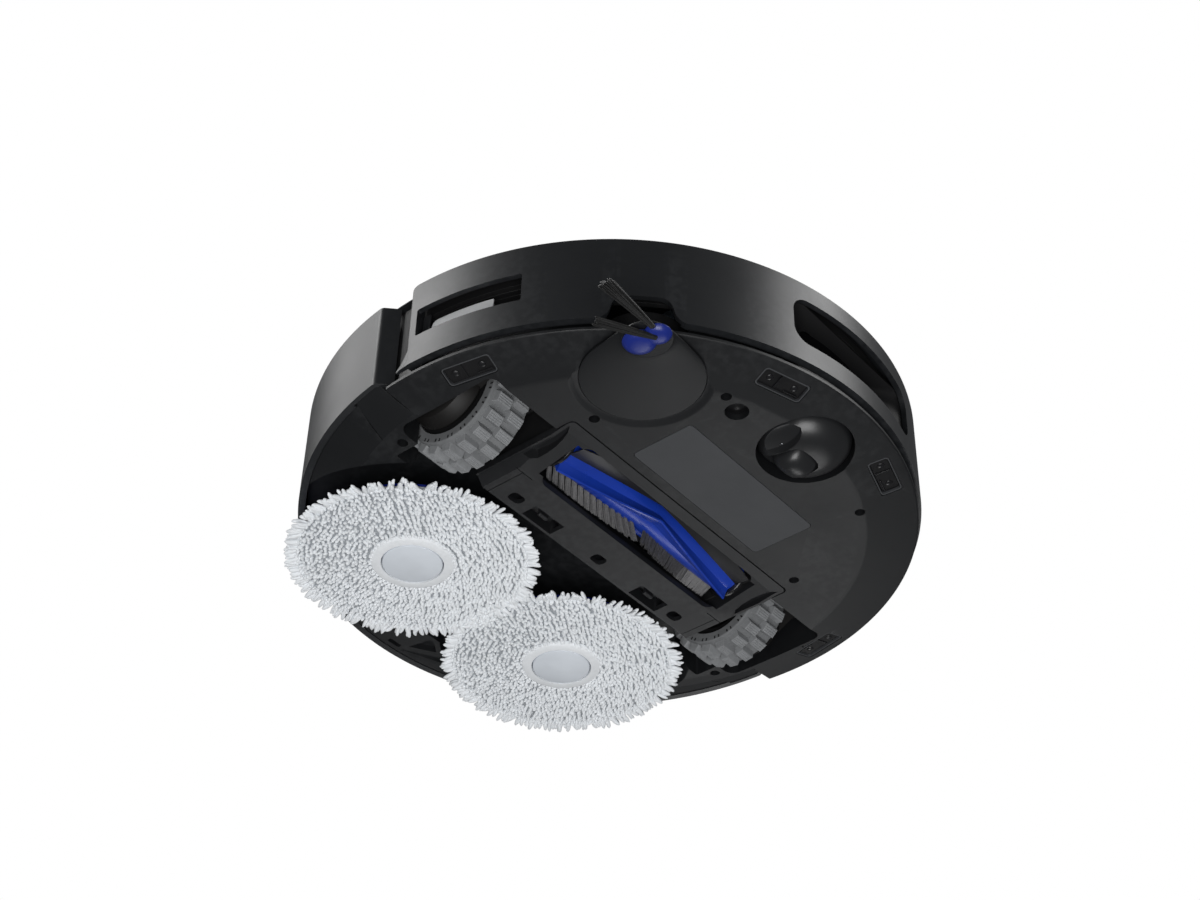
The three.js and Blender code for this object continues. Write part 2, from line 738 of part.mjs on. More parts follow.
const POCKET_GLASS_R = 158.5;
function bumperBezel() {
  const funnel = (wider, taller) =>
    loft([
      standingOutline(25.7 + wider, 37.5 - taller, 64.5 + taller, 7 + taller, -154),
      standingOutline(84 + wider, 35.9 - taller, 67.1 + taller, 10 + taller, -178),
    ]);
  const band = cut(
    cylinder(0, FRONT_Y, 20, 80, BODY_R - WALL - 0.6, 72),
    cylinder(0, FRONT_Y, 10, 90, POCKET_GLASS_R + GAP, 72),
  );
  return cut(funnel(4, 1.3), funnel(0, 0)).intersect(band);
}
add(bumper, "bumper_bezel", bumperBezel(), "gloss");
add(
  bumper,
  "bumper_glass",
  arcWall(POCKET_GLASS_R - 2, POCKET_GLASS_R, -14, 14, 36, 67),
  "glass",
);

// ---------- driving wheels ----------
const LUGS = 20;
function tyre() {
  const { x, base, rim, width } = WHEEL;
  const r = WHEEL.r / Math.cos((0.19 * 2 * Math.PI) / LUGS);
  const outline = [];
  for (let i = 0; i < LUGS; i++)
    for (const [turn, radius] of [
      [0, base],
      [0.12, r],
      [0.5, r],
      [0.62, base],
    ]) {
      const angle = (2 * Math.PI * (i + turn)) / LUGS - Math.PI / 2 - (0.31 * 2 * Math.PI) / LUGS;
      outline.push(new THREE.Vector2(radius * Math.cos(angle), radius * Math.sin(angle)));
    }
  const shape = new THREE.Shape(outline);
  const hole = new THREE.Path();
  hole.absarc(0, 0, rim + GAP, 0, 2 * Math.PI, true);
  shape.holes.push(hole);
  return prismX(shape, x - width / 2, x + width / 2, 12);
}

function wheelRim() {
  const { x, rim, width } = WHEEL;
  const x0 = x - width / 2 + 2;
  const x1 = x + width / 2 - 1;
  const disc = cylinderX(x0, x1, 0, 0, rim, 24);
  const dish = cut(cylinderX(x0 - 1, x0 + 7, 0, 0, rim - 4, 24), cylinderX(x0 - 2, x1, 0, 0, 8, 16));
  return cut(disc, dish, cylinderX(x0 - 1, x1 + 1, 0, 0, 3.4, 12));
}

// The geared arm beside the wheel, with the axle that the wheel turns on.
function wheelArm() {
  const { x, width, y, z } = WHEEL;
  const side = x + width / 2 + 1.5;
  const plate = prismX(beltOutline(WHEEL_PIVOT.y, WHEEL_PIVOT.z, 6.5, y, z, 18), side, side + 12);
  const hub = cylinderX(side + 11, side + 14, y, z, 14, 24);
  const axle = cylinderX(x - width / 2 + 2.5, side + 1, y, z, 3, 12);
  const pivot = cylinderX(side - 1, side + 15, WHEEL_PIVOT.y, WHEEL_PIVOT.z, 2.9, 12);
  return cut(join(plate, hub, axle), pivot);
}

function wheelHousing() {
  const top = 77.5;
  const outer = box(95.5, 151, -43.5, 43.5, BASE_TOP + GAP, top);
  const inner = box(97.5, 149, -41.5, 41.5, 0, top - 2);
  const corner = cylinder(0, 0, 0, 100, 162, 72);
  const pin = cylinderX(133, 150, WHEEL_PIVOT.y, WHEEL_PIVOT.z, WHEEL_PIVOT.r, 12);
  return join(cut(outer, inner).intersect(corner), pin);
}

for (const [sideName, side] of sides) {
  add(chassis, `wheel_housing_${sideName}`, wheelHousing(), "inner", side);
  const arm = group();
  add(arm, `wheel_arm_${sideName}`, wheelArm(), "inner", side);
  const wheel = group(arm);
  wheel.position.set(0, WHEEL.y, WHEEL.z);
  add(wheel, `wheel_rim_${sideName}`, wheelRim(), "inner", side);
  add(wheel, `wheel_tyre_${sideName}`, tyre(), "tyre", side);
}

// ---------- caster ----------
const caster = group();
caster.position.set(0, CASTER.y, 0);

function casterDome() {
  const dome = turned(
    [
      [0, 4.2],
      [9, 4.6],
      [17, 6.2],
      [23, 8.8],
      [CASTER.r, 12.5],
      [CASTER.r, 26],
      [0, 26],
    ],
    0,
    0,
    32,
  );
  const slot = CASTER.width / 2 + 0.8;
  const reach = CASTER.wheel + 1.2;
  const wheelSpace = box(-slot, slot, CASTER.trail - reach, CASTER.trail + reach, 0, 24.2);
  const axleHole = cylinderX(-15, 15, CASTER.trail, CASTER.wheel, 2.3, 12);
  return cut(dome, wheelSpace, axleHole);
}
add(caster, "caster_dome", casterDome(), "gloss");
add(caster, "caster_axle", cylinderX(-14, 14, CASTER.trail, CASTER.wheel, 2, 12), "steel");

function casterWheel() {
  const half = CASTER.width / 2;
  const profile = [
    [2.3, -half],
    [8.5, -half],
    [10.8, -half * 0.55],
    [CASTER.wheel, 0],
    [10.8, half * 0.55],
    [8.5, half],
    [2.3, half],
    [2.3, -half],
  ];
  const geometry = new THREE.LatheGeometry(
    profile.map(([r, along]) => new THREE.Vector2(r, along)),
    20,
  );
  geometry.rotateZ(-Math.PI / 2);
  geometry.translate(0, CASTER.trail, CASTER.wheel);
  return solid(geometry);
}
add(group(caster), "caster_wheel", casterWheel(), "gloss");

// ---------- main brush ----------
const mainBrush = group();
mainBrush.position.set(0, BRUSH.y, BRUSH.z);

// A fin along the roller that leans back towards both of its ends.
function chevronFin(start, r0, r1, thick) {
  const stations = 8;
  const sweep = 50;
  const sections = [];
  for (let i = 0; i <= stations; i++) {
    const x = -BRUSH.half + (2 * BRUSH.half * i) / stations;
    const angle = rad(start + (sweep * Math.abs(x)) / BRUSH.half);
    const section = [
      [r0, -thick / 2],
      [r0, thick / 2],
      [r1, thick / 4],
      [r1, -thick / 4],
    ].map(([out, along]) => {
      const y = out * Math.cos(angle) - along * Math.sin(angle);
      const z = out * Math.sin(angle) + along * Math.cos(angle);
      return new THREE.Vector3(x, y, z);
    });
    sections.push(section);
  }
  return loft(sections);
}

function brushCore() {
  const { half, core, journal, r } = BRUSH;
  const roller = cylinderX(-half, half, 0, 0, core, 20);
  const shaft = cylinderX(-84, 84, 0, 0, journal, 12);
  return join(roller, shaft, chevronFin(-125, core - 3, r, 3), chevronFin(55, core - 3, r, 3));
}
add(mainBrush, "main_brush_core", brushCore(), "blue");
for (const [index, start] of [-175, 5].entries())
  add(
    mainBrush,
    `main_brush_flap_${index + 1}`,
    chevronFin(start, BRUSH.core + 0.5, BRUSH.r - 1, 2),
    "gloss",
  );
for (const [index, start] of [-75, 105].entries())
  add(
    mainBrush,
    `main_brush_bristles_${index + 1}`,
    chevronFin(start, BRUSH.core + 0.5, BRUSH.r, 4),
    "bristle",
  );

// ---------- side brush ----------
const sideArm = group();
sideArm.position.set(ARM.x, ARM.y, 0);

function sideBrushArm() {
  const steps = 5;
  const sections = [];
  const tip = 12.5;
  for (let i = steps; i >= 0; i--) {
    const t = i / steps;
    const ease = 1 - (1 - t) ** 1.8;
    const z = BASE_Z - GAP - (BASE_Z - GAP - SIDE_HUB.z1 - GAP) * t;
    const r = ARM.r + (tip - ARM.r) * ease;
    sections.push(ring(ARM.hubX * ease, ARM.hubY * ease, z, r, 32));
  }
  sections.push(ring(0, 0, 20, ARM.r, 32));
  return loft(sections);
}
add(sideArm, "side_brush_arm", sideBrushArm(), "base");

const sideBrush = group(sideArm);
sideBrush.position.set(ARM.hubX, ARM.hubY, 0);

function sideBrushHub() {
  const { z0, z1, lobe } = SIDE_HUB;
  return join(cylinder(0, lobe, z0, z1, 8.6, 20, 9.4), cylinder(0, -lobe, z0, z1, 8.6, 20, 9.4));
}
add(sideBrush, "side_brush_hub", sideBrushHub(), "hub");

// A flat tuft of bristles that widens from the hub to its tip.
function tuft(fromX, fromY, toX, toY, toZ) {
  const along = new THREE.Vector3(toX - fromX, toY - fromY, 0).normalize();
  const across = new THREE.Vector3(-along.y, along.x, 0);
  const section = (x, y, z, wide, high) =>
    [
      [-wide, -high],
      [wide, -high],
      [wide, high],
      [-wide, high],
    ].map(([side, up]) => new THREE.Vector3(x, y, z + up).addScaledVector(across, side));
  return loft([section(fromX, fromY, 4.2, 2, 1.2), section(toX, toY, toZ, 3.6, 0.9)]);
}
add(sideBrush, "side_brush_tuft_long", tuft(-11, -9.6, -47, -11.5, 4.2), "bristle");
add(sideBrush, "side_brush_tuft_short", tuft(-9.6, 10.2, -29, 19, 2.6), "bristle");

// ---------- mops ----------
const mopLift = group();

function liftCarriage() {
  const housings = sides.map(([, side]) => cylinder(side * MOP.x, MOP.y, 14.6, 22, 27, 24));
  const bar = box(-MOP.x, MOP.x, MOP.y - 14, MOP.y + 14, 16, 22);
  const bores = sides.map(([, side]) => cylinder(side * MOP.x, MOP.y, 10, 20.5, 5.5, 16));
  return cut(join(...housings, bar), ...bores);
}
add(mopLift, "mop_lift_carriage", liftCarriage(), "inner");

function mopPlate() {
  return turned(
    [
      [0, 6],
      [MOP.plate, 6],
      [MOP.plate, 8.7],
      [50, 9.2],
      [20, 13.8],
      [5, 13.8],
      [5, 19],
      [0, 19],
    ],
    0,
    0,
    36,
  );
}

function mopPad() {
  const hole = cylinder(0, 0, -5, 20, MOP.cap + 0.5, 24);
  const disc = turned(
    [
      [0, 0],
      [MOP.pad - 1.5, 0],
      [MOP.pad, 1.5],
      [MOP.pad, 5.7],
      [0, 5.7],
    ],
    0,
    0,
    36,
  );
  return cut(disc, hole);
}

for (const [sideName, side] of sides) {
  const mop = group(mopLift);
  mop.position.set(side * MOP.x, MOP.y, 0);
  add(mop, `mop_plate_${sideName}`, mopPlate(), "blue");
  add(mop, `mop_pad_${sideName}`, mopPad(), "pad");
  add(mop, `mop_cap_${sideName}`, cylinder(0, 0, 0.8, 5.7, MOP.cap, 24), "cap");
}

export default root;
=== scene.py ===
"""A robot vacuum with two spinning mops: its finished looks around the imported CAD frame.

Lengths are in millimetres until an object is made. Angles are in degrees from straight ahead,
positive towards the robot's own left. +Z is up and the robot drives towards -Y.
"""
import json
import random
from math import acos, atan2, cos, degrees, hypot, radians, sin, sqrt, tan, tau

import bmesh
import bpy
import numpy as np
from mathutils import Matrix, Vector


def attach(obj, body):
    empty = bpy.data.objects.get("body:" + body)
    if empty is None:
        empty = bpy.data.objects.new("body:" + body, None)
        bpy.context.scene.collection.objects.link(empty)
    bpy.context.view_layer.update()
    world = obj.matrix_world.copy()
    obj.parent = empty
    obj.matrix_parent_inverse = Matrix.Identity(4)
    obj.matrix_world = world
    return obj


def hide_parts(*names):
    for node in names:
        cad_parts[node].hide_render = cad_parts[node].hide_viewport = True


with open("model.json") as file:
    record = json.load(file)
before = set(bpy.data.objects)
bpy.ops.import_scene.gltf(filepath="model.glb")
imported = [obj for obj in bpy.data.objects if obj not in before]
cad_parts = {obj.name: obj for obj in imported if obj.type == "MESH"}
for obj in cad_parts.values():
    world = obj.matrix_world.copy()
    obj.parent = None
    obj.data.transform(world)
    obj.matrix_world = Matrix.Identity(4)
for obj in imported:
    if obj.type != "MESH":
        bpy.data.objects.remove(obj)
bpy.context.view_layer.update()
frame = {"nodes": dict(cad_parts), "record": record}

MM = 0.001
SIDES = (("right", -1), ("left", 1))

# ---------- driving dimensions, as in the CAD ----------
BODY_R = 175
WALL = 3
GAP = 0.3
FRONT_Y = -2
REAR_Y = 5
BASE_Z = 10.5
BASE_EDGE_Z = 16
BASE_FLAT_R = 143
BASE_R = 173
BASE_TOP = 34
CORE_R = 165.5
BUMPER_Z = 22.5
RIM_Z = 79.5
DECK_Z = 82
COVER_R = 168
TOP_FLANGE_R, TOP_FLANGE_Z = 166.5, 77.9
BUMPER_END = 90.6
BUMPER_TIP = 92.3
SHELL_START = 94.6
PANEL_Y = 39
PANEL_START = 94.9
PANEL_R0, PANEL_R1 = 152.5, 170.6
REAR_EDGE_Y0, REAR_EDGE_Z0 = 23, 23.5
REAR_EDGE_Y1, REAR_EDGE_Z1 = 180, 16

MOP_X, MOP_Y = 65.8, 92.2
MOP_PLATE_R = 64.5
MOP_CAP_R = 17.4
PAD_TOP = 5.7
BAY_CEILING = 32
BAY_Y0 = 16.9

COVER_X = 96.7
COVER_Y0, COVER_Y1 = -53.2, 16.3
COVER_STRIP_Z = 3.8
BRUSH_Y, BRUSH_Z = -26, 22.5
BRUSH_R = 20
BRUSH_HALF = 75
BRUSH_CORE_R = 11.6
BRUSH_SWEEP = 50

CASTER_Y = -135.5
CASTER_R = 26.5
CASTER_TRAIL = 6.5
CASTER_WHEEL_R = 11.5
CASTER_WIDTH = 19

ARM_X, ARM_Y, ARM_R = -100, -103, 30
SKIRT_R = 33.4
HUB_X, HUB_Y = -25.5, -23.5
HUB_Z0, HUB_Z1 = 2.4, 6.5

WHEEL_X, WHEEL_Y, WHEEL_Z, WHEEL_R = 118, 3, 36, 36
WHEEL_WIDTH = 28
TURRET_Y, TURRET_R, TURRET_TOP = 66, 45, 101
BUTTON_X, BUTTON_Y = 13, -154.5
BUTTONS = (("power_button", -BUTTON_X), ("dock_button", BUTTON_X))

# A cut that reaches this far passes the whole body.
FAR = 220


# ---------- plain geometry: (points, faces) ----------
def polar(angle, r, z=0.0, centre_y=FRONT_Y):
    turn = radians(angle)
    return (r * sin(turn), centre_y - r * cos(turn), z)


def spaced(a, b, step):
    count = max(1, round(abs(b - a) / step))
    return [a + (b - a) * i / count for i in range(count + 1)]


def arc(cx, cy, r, start, end, step=7.5):
    """Points on a circle, with angles anticlockwise from +X."""
    turns = [radians(a) for a in spaced(start, end, step)]
    return [(cx + r * cos(t), cy + r * sin(t)) for t in turns]


def rounded(x0, x1, y0, y1, r, step=11.25):
    """A rectangle with round corners, as a list of (x, y)."""
    corners = ((x1 - r, y0 + r, -90), (x1 - r, y1 - r, 0), (x0 + r, y1 - r, 90), (x0 + r, y0 + r, 180))
    return [p for cx, cy, start in corners for p in arc(cx, cy, r, start, start + 90, step)]


def loft(rings, closed=False):
    """Skin over rings of equally many points. An open loft gets a cap at each end."""
    count = len(rings[0])
    points = [tuple(p) for ring in rings for p in ring]
    faces = []
    for i in range(len(rings) - (0 if closed else 1)):
        a = i * count
        b = (i + 1) % len(rings) * count
        for j in range(count):
            k = (j + 1) % count
            faces.append((a + j, a + k, b + k, b + j))
    if not closed:
        last = (len(rings) - 1) * count
        faces.append(tuple(range(count)))
        faces.append(tuple(range(last, last + count)))
    return points, faces


def prism(outline, z0, z1):
    return loft([[(x, y, z) for x, y in outline] for z in (z0, z1)])


def prism_x(outline, x0, x1):
    """An outline of (y, z), drawn along X."""
    return loft([[(x, y, z) for y, z in outline] for x in (x0, x1)])


def block(x0, x1, y0, y1, z0, z1):
    return prism([(x0, y0), (x1, y0), (x1, y1), (x0, y1)], z0, z1)


def slab(x0, x1, y0, y1, r, z0, z1):
    return prism(rounded(x0, x1, y0, y1, r), z0, z1)


def circle(x, y, r, sides=48):
    return [(x + r * cos(tau * i / sides), y + r * sin(tau * i / sides)) for i in range(sides)]


def cylinder(x, y, z0, z1, r, sides=48):
    return prism(circle(x, y, r, sides), z0, z1)


def cylinder_x(x0, x1, y, z, r, sides=48):
    return prism_x(circle(y, z, r, sides), x0, x1)


def lathe(profile, x=0.0, y=0.0, sides=96):
    """A closed profile of (radius, height) turned about the vertical line through x, y."""
    rings = []
    for i in range(sides):
        turn = tau * i / sides
        rings.append([(x + r * cos(turn), y + r * sin(turn), z) for r, z in profile])
    return loft(rings, closed=True)


def lathe_x(profile, y, z, sides=64):
    """A closed profile of (radius, x) turned about the line along X through y, z."""
    rings = []
    for i in range(sides):
        turn = tau * i / sides
        rings.append([(x, y + r * cos(turn), z + r * sin(turn)) for r, x in profile])
    return loft(rings, closed=True)


def arc_wall(r0, r1, a0, a1, z0, z1, centre_y=FRONT_Y, step=1.5):
    outer = [polar(a, r1, 0, centre_y)[:2] for a in spaced(a0, a1, step)]
    inner = [polar(a, r0, 0, centre_y)[:2] for a in spaced(a1, a0, step)]
    return prism(outer + inner, z0, z1)


def sill(tops, r0, r1, z0, centre_y=FRONT_Y):
    """A wall along an arc whose top changes. Each of tops is (angle, height)."""
    return loft([[polar(a, r, z, centre_y) for r, z in ((r0, z0), (r1, z0), (r1, top), (r0, top))]
        for a, top in tops])


def radial(outline, angle, r0, r1, centre_y=FRONT_Y):
    """An outline of (sideways, up), driven outwards from r0 to r1."""
    turn = radians(angle)
    along = (cos(turn), sin(turn))
    out = (sin(turn), -cos(turn))
    rings = [[(u * along[0] + r * out[0], centre_y + u * along[1] + r * out[1], v) for u, v in outline]
        for r in (r0, r1)]
    return loft(rings)


def moved(shape, matrix):
    points, faces = shape
    return [tuple(matrix @ Vector(p)) for p in points], faces


def mirrored(shape):
    points, faces = shape
    return [(-x, y, z) for x, y, z in points], faces


def together(*shapes):
    points, faces = [], []
    for shape_points, shape_faces in shapes:
        start = len(points)
        points.extend(shape_points)
        faces.extend(tuple(start + i for i in face) for face in shape_faces)
    return points, faces


# ---------- meshes and objects ----------
def in_scene(name, data):
    made = bpy.data.objects.new(name, data)
    bpy.context.scene.collection.objects.link(made)
    return made


def raw_object(name, shape):
    """A mesh object in metres, with its doubled points joined and its faces turned outwards."""
    points, faces = shape
    mesh = bpy.data.meshes.new(name)
    mesh.from_pydata([(x * MM, y * MM, z * MM) for x, y, z in points], [], faces)
    work = bmesh.new()
    work.from_mesh(mesh)
    bmesh.ops.remove_doubles(work, verts=work.verts, dist=1e-6)
    bmesh.ops.dissolve_degenerate(work, dist=1e-7, edges=work.edges)
    bmesh.ops.recalc_face_normals(work, faces=work.faces)
    work.to_mesh(mesh)
    work.free()
    return in_scene(name, mesh)


def as_object(name, shape):
    return shape if isinstance(shape, bpy.types.Object) else raw_object(name, shape)


def drop(made):
    mesh = made.data
    bpy.data.objects.remove(made)
    bpy.data.meshes.remove(mesh)


def carve(base, cuts=(), joins=()):
    """The base with the joined shapes added, and then the cutting shapes taken away."""
    made = as_object("carved", base)
    tools = []
    for operation, shapes in (("UNION", joins), ("DIFFERENCE", cuts)):
        for shape in shapes:
            tool = as_object("tool", shape)
            tools.append(tool)
            step = made.modifiers.new("carve", "BOOLEAN")
            step.operation = operation
            step.solver = "MANIFOLD"
            step.object = tool
    bpy.context.view_layer.update()
    depsgraph = bpy.context.evaluated_depsgraph_get()
    carved = bpy.data.meshes.new_from_object(made.evaluated_get(depsgraph))
    made.modifiers.clear()
    plain = made.data
    made.data = carved
    bpy.data.meshes.remove(plain)
    for tool in tools:
        drop(tool)
    work = bmesh.new()
    work.from_mesh(carved)
    bmesh.ops.remove_doubles(work, verts=work.verts, dist=1e-6)
    bmesh.ops.dissolve_limit(work, angle_limit=radians(0.4), verts=work.verts, edges=work.edges)
    work.to_mesh(carved)
    work.free()
    return made


def soften(made, width, segments=2):
    """Rounds the sharp edges and keeps flat faces flat in the shading."""
    for polygon in made.data.polygons:
        polygon.use_smooth = True
    bevel = made.modifiers.new("edges", "BEVEL")
    bevel.width = width * MM
    bevel.segments = segments
    bevel.limit_method = "ANGLE"
    bevel.angle_limit = radians(30)
    bevel.harden_normals = False
    normals = made.modifiers.new("normals", "WEIGHTED_NORMAL")
    normals.keep_sharp = True
    normals.weight = 60
    return made


def smooth(made, angle):
    made.data.shade_smooth()
    made.data.set_sharp_from_angle(angle=radians(angle))
    return made


def add(name, shape, slot, replaces=(), body="chassis", paint=None, edge=0.3, segments=2, crease=None):
    """A finished piece, riding on its CAD body and hiding the CAD nodes that it stands for.

    It has its slot's paint unless it is given its own, and bevelled edges unless it is given a crease.
    """
    made = as_object(name, shape)
    made.name = name
    made.data.materials.clear()
    made.data.materials.append(paint or SLOT_PAINTS[slot])
    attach(made, body)
    if replaces:
        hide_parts(*replaces)
    if crease:
        return smooth(made, crease)
    return soften(made, edge, segments)


# ---------- materials ----------
def feed(tree, node, inputs):
    """Sets a node's inputs to values, or links them from other nodes' outputs."""
    for socket, value in inputs.items():
        if isinstance(value, bpy.types.NodeSocket):
            tree.links.new(value, node.inputs[socket])
        else:
            node.inputs[socket].default_value = value
    return node


class Paint:
    """A material being built: a Principled shader and short ways to add to it."""

    def __init__(self, name, colour, roughness, metallic=0.0, specular=0.5):
        self.material = bpy.data.materials.new(name)
        self.material.use_nodes = True
        self.tree = self.material.node_tree
        self.shader = self.tree.nodes["Principled BSDF"]
        self.tint = (*colour, 1)
        self.set(Roughness=roughness, Metallic=metallic)
        feed(self.tree, self.shader, {"Base Color": self.tint, "Specular IOR Level": specular})
        self.place = self.tree.nodes.new("ShaderNodeTexCoord").outputs["Object"]

    def set(self, **inputs):
        feed(self.tree, self.shader, inputs)

    def node(self, kind, inputs, output, **settings):
        """The output of a new node."""
        made = self.tree.nodes.new("ShaderNode" + kind)
        for setting, value in settings.items():
            setattr(made, setting, value)
        return feed(self.tree, made, inputs).outputs[output]

    def noise(self, scale, detail=3.0, stretch=(1, 1, 1)):
        spot = self.node("Mapping", {"Vector": self.place, "Scale": stretch}, "Vector")
        return self.node("TexNoise", {"Vector": spot, "Scale": scale, "Detail": detail}, "Fac")

    def spread(self, factor, low, high, start=0.3, end=0.7):
        """The factor, moved from start..end to low..high."""
        span = {"From Min": start, "From Max": end, "To Min": low, "To Max": high}
        return self.node("MapRange", {"Value": factor, **span}, "Result")

    def mix_colour(self, factor, other, strength, start=0.3, end=0.7):
        """Blends the colour so far towards another by a factor."""
        share = self.spread(factor, 0, strength, start, end)
        inputs = {"Factor": share, 6: self.tint, 7: (*other, 1)}
        self.tint = self.node("Mix", inputs, 2, data_type="RGBA")
        feed(self.tree, self.shader, {"Base Color": self.tint})

    def vary_roughness(self, factor, low, high):
        self.set(Roughness=self.spread(factor, low, high))

    def bump(self, factor, height, strength=1.0):
        """Height in millimetres between the factor's dark and light."""
        inputs = {"Strength": strength, "Distance": height * MM, "Height": factor}
        self.set(Normal=self.node("Bump", inputs, "Normal"))

    def wear(self, colour, strength):
        """Lightens worn edges."""
        edge = self.spread(self.node("NewGeometry", {}, "Pointiness"), 0, 1, 0.52, 0.60)
        scuff = self.spread(self.noise(220, 4), 0, 1, 0.42, 0.62)
        worn = self.node("Math", {0: edge, 1: scuff}, 0, operation="MULTIPLY")
        self.mix_colour(worn, colour, strength, 0, 1)


def moulded(name, colour, roughness, grain=0.012, grain_scale=1400, specular=0.5, smudge=0.025, wear=0.25):
    """Moulded plastic: a fine spark-eroded grain, slow gloss changes and slightly worn edges."""
    paint = Paint(name, colour, roughness, specular=specular)
    lighter = tuple(min(1, c * 1.15 + 0.0005) for c in colour)
    paint.mix_colour(paint.noise(60, 4), lighter, 0.6)
    paint.vary_roughness(paint.noise(24, 5), roughness - smudge, roughness + smudge)
    paint.bump(paint.noise(grain_scale, 2), grain)
    if wear:
        paint.wear(tuple(min(1, c * 2.2 + 0.02) for c in colour), wear)
    return paint.material


def polished(name, colour, roughness, coat=0.0, specular=0.5):
    """Polished plastic or glass with faint smudges."""
    paint = Paint(name, colour, roughness, specular=specular)
    paint.vary_roughness(paint.noise(30, 4), roughness * 0.7, roughness * 1.6)
    paint.mix_colour(paint.noise(45, 3), tuple(c * 1.4 + 0.001 for c in colour), 0.6)
    paint.bump(paint.noise(55, 2), 0.05, 0.15)
    feed(paint.tree, paint.shader, {"Coat Weight": coat, "Coat Roughness": 0.05})
    return paint.material


def metal(name, colour, roughness):
    """Turned metal with fine tool marks."""
    paint = Paint(name, colour, roughness, metallic=1.0)
    paint.vary_roughness(paint.noise(900, 2, (1, 1, 0.1)), roughness * 0.7, roughness * 1.5)
    paint.bump(paint.noise(1800, 2, (0.1, 1, 1)), 0.01)
    return paint.material


def rubber(name, colour, roughness):
    """Dusty rubber: dull, mottled, with pale scuffs."""
    paint = Paint(name, colour, roughness, specular=0.3)
    paint.mix_colour(paint.noise(160, 5), tuple(c * 0.72 for c in colour), 0.8)
    paint.mix_colour(paint.noise(900, 3), tuple(min(1, c * 1.2) for c in colour), 0.35)
    paint.bump(paint.noise(1500, 3), 0.04)
    return paint.material


def cotton(name, colour):
    """Looped microfibre: pale, soft, with short fuzz and shade between the fibres."""
    paint = Paint(name, colour, 0.95, specular=0.15)
    paint.mix_colour(paint.noise(420, 4), tuple(c * 0.86 for c in colour), 0.6)
    paint.mix_colour(paint.noise(60, 3), tuple(min(1, c * 1.06) for c in colour), 0.5)
    paint.bump(paint.noise(2600, 3), 0.12)
    feed(paint.tree, paint.shader, {"Sheen Weight": 0.25, "Sheen Roughness": 0.5})
    return paint.material


def strands(name, colour, roughness):
    """Nylon bristles: each strand a slightly different grey."""
    paint = Paint(name, colour, roughness, specular=0.4)
    paint.mix_colour(paint.noise(700, 2), tuple(c * 0.5 for c in colour), 0.8)
    paint.mix_colour(paint.noise(1500, 2), tuple(min(1, c * 1.5) for c in colour), 0.5)
    paint.bump(paint.noise(3000, 1), 0.02)
    return paint.material


body_paint = moulded("satin_body", (0.0105, 0.0115, 0.013), 0.4)
base_paint = moulded("matte_base", (0.0072, 0.0078, 0.0088), 0.46, grain=0.014, specular=0.4)
# The dark inner grey also paints the tyre's side-wall slots as painted shade.
inner_and_slot_shade_paint = moulded("dark_inner_and_slot_shade", (0.0045, 0.0046, 0.005), 0.6, wear=0)
cover_paint = moulded("brush_cover_plastic", (0.0095, 0.010, 0.0112), 0.46, grain=0.012, specular=0.42)
# The label film's lighter grey also paints the cliff sensors' rims as a painted highlight.
label_and_rim_highlight_paint = moulded("label_film_and_rim_highlight", (0.043, 0.045, 0.049), 0.56, grain=0.006, wear=0)
glass_paint = polished("dark_glass", (0.0025, 0.0025, 0.003), 0.12, coat=0.1, specular=0.35)
gloss_paint = polished("glossy_black", (0.007, 0.007, 0.008), 0.22)
satin_paint = moulded("satin_caster", (0.013, 0.0135, 0.0145), 0.33, grain=0.004, wear=0)
bezel_paint = moulded("pocket_bezel_black", (0.006, 0.006, 0.0065), 0.62, grain=0.02, specular=0.3, wear=0)
gear_paint = moulded("gear_cover_plastic", (0.0055, 0.005, 0.0047), 0.55, grain=0.02, specular=0.35,
    wear=0.1)
lens_paint = polished("sensor_lens", (0.0035, 0.0035, 0.004), 0.42, specular=0.3)
blue_paint = polished("brush_blue", (0.008, 0.036, 0.31), 0.24, coat=0.1)
plate_paint = polished("plate_blue", (0.006, 0.014, 0.16), 0.35)
hub_paint = moulded("hub_blue", (0.008, 0.020, 0.19), 0.34, grain=0.006, wear=0)
flap_paint = moulded("black_rubber_flap", (0.010, 0.010, 0.011), 0.4, grain=0.02, wear=0)
bristle_paint = strands("grey_bristle", (0.115, 0.113, 0.115), 0.5)
tuft_paint = strands("dark_tuft", (0.016, 0.016, 0.016), 0.38)
tyre_paint = rubber("grey_tyre", (0.25, 0.257, 0.265), 0.65)
# The tyre's carcass is painted darker than the lugs: painted shade in the valleys between the lugs.
valley_shade_paint = rubber("tyre_valley_painted_shade", (0.17, 0.175, 0.18), 0.75)
pad_paint = cotton("mop_fibre", (0.86, 0.885, 0.91))
cap_paint = moulded("pale_cap", (0.68, 0.72, 0.77), 0.5, grain=0.02, wear=0)
# The mop backing's grey is painted shade: it shows between the fibres as the shade in their gaps.
backing_shade_paint = cotton("mop_backing_painted_shade", (0.34, 0.36, 0.385))
filter_paint = cotton("filter_paper", (0.62, 0.62, 0.58))
steel_paint = metal("steel", (0.42, 0.43, 0.45), 0.3)
brass_paint = metal("brass", (0.58, 0.42, 0.14), 0.32)
board_paint = moulded("circuit_board", (0.012, 0.10, 0.035), 0.5, grain=0.05, wear=0)
tank_paint = polished("smoked_tank", (0.10, 0.12, 0.14), 0.18)
grey_paint = moulded("sensor_grey", (0.74, 0.75, 0.76), 0.5, wear=0)
clip_paint = moulded("clip_grey", (0.022, 0.023, 0.025), 0.4, wear=0)

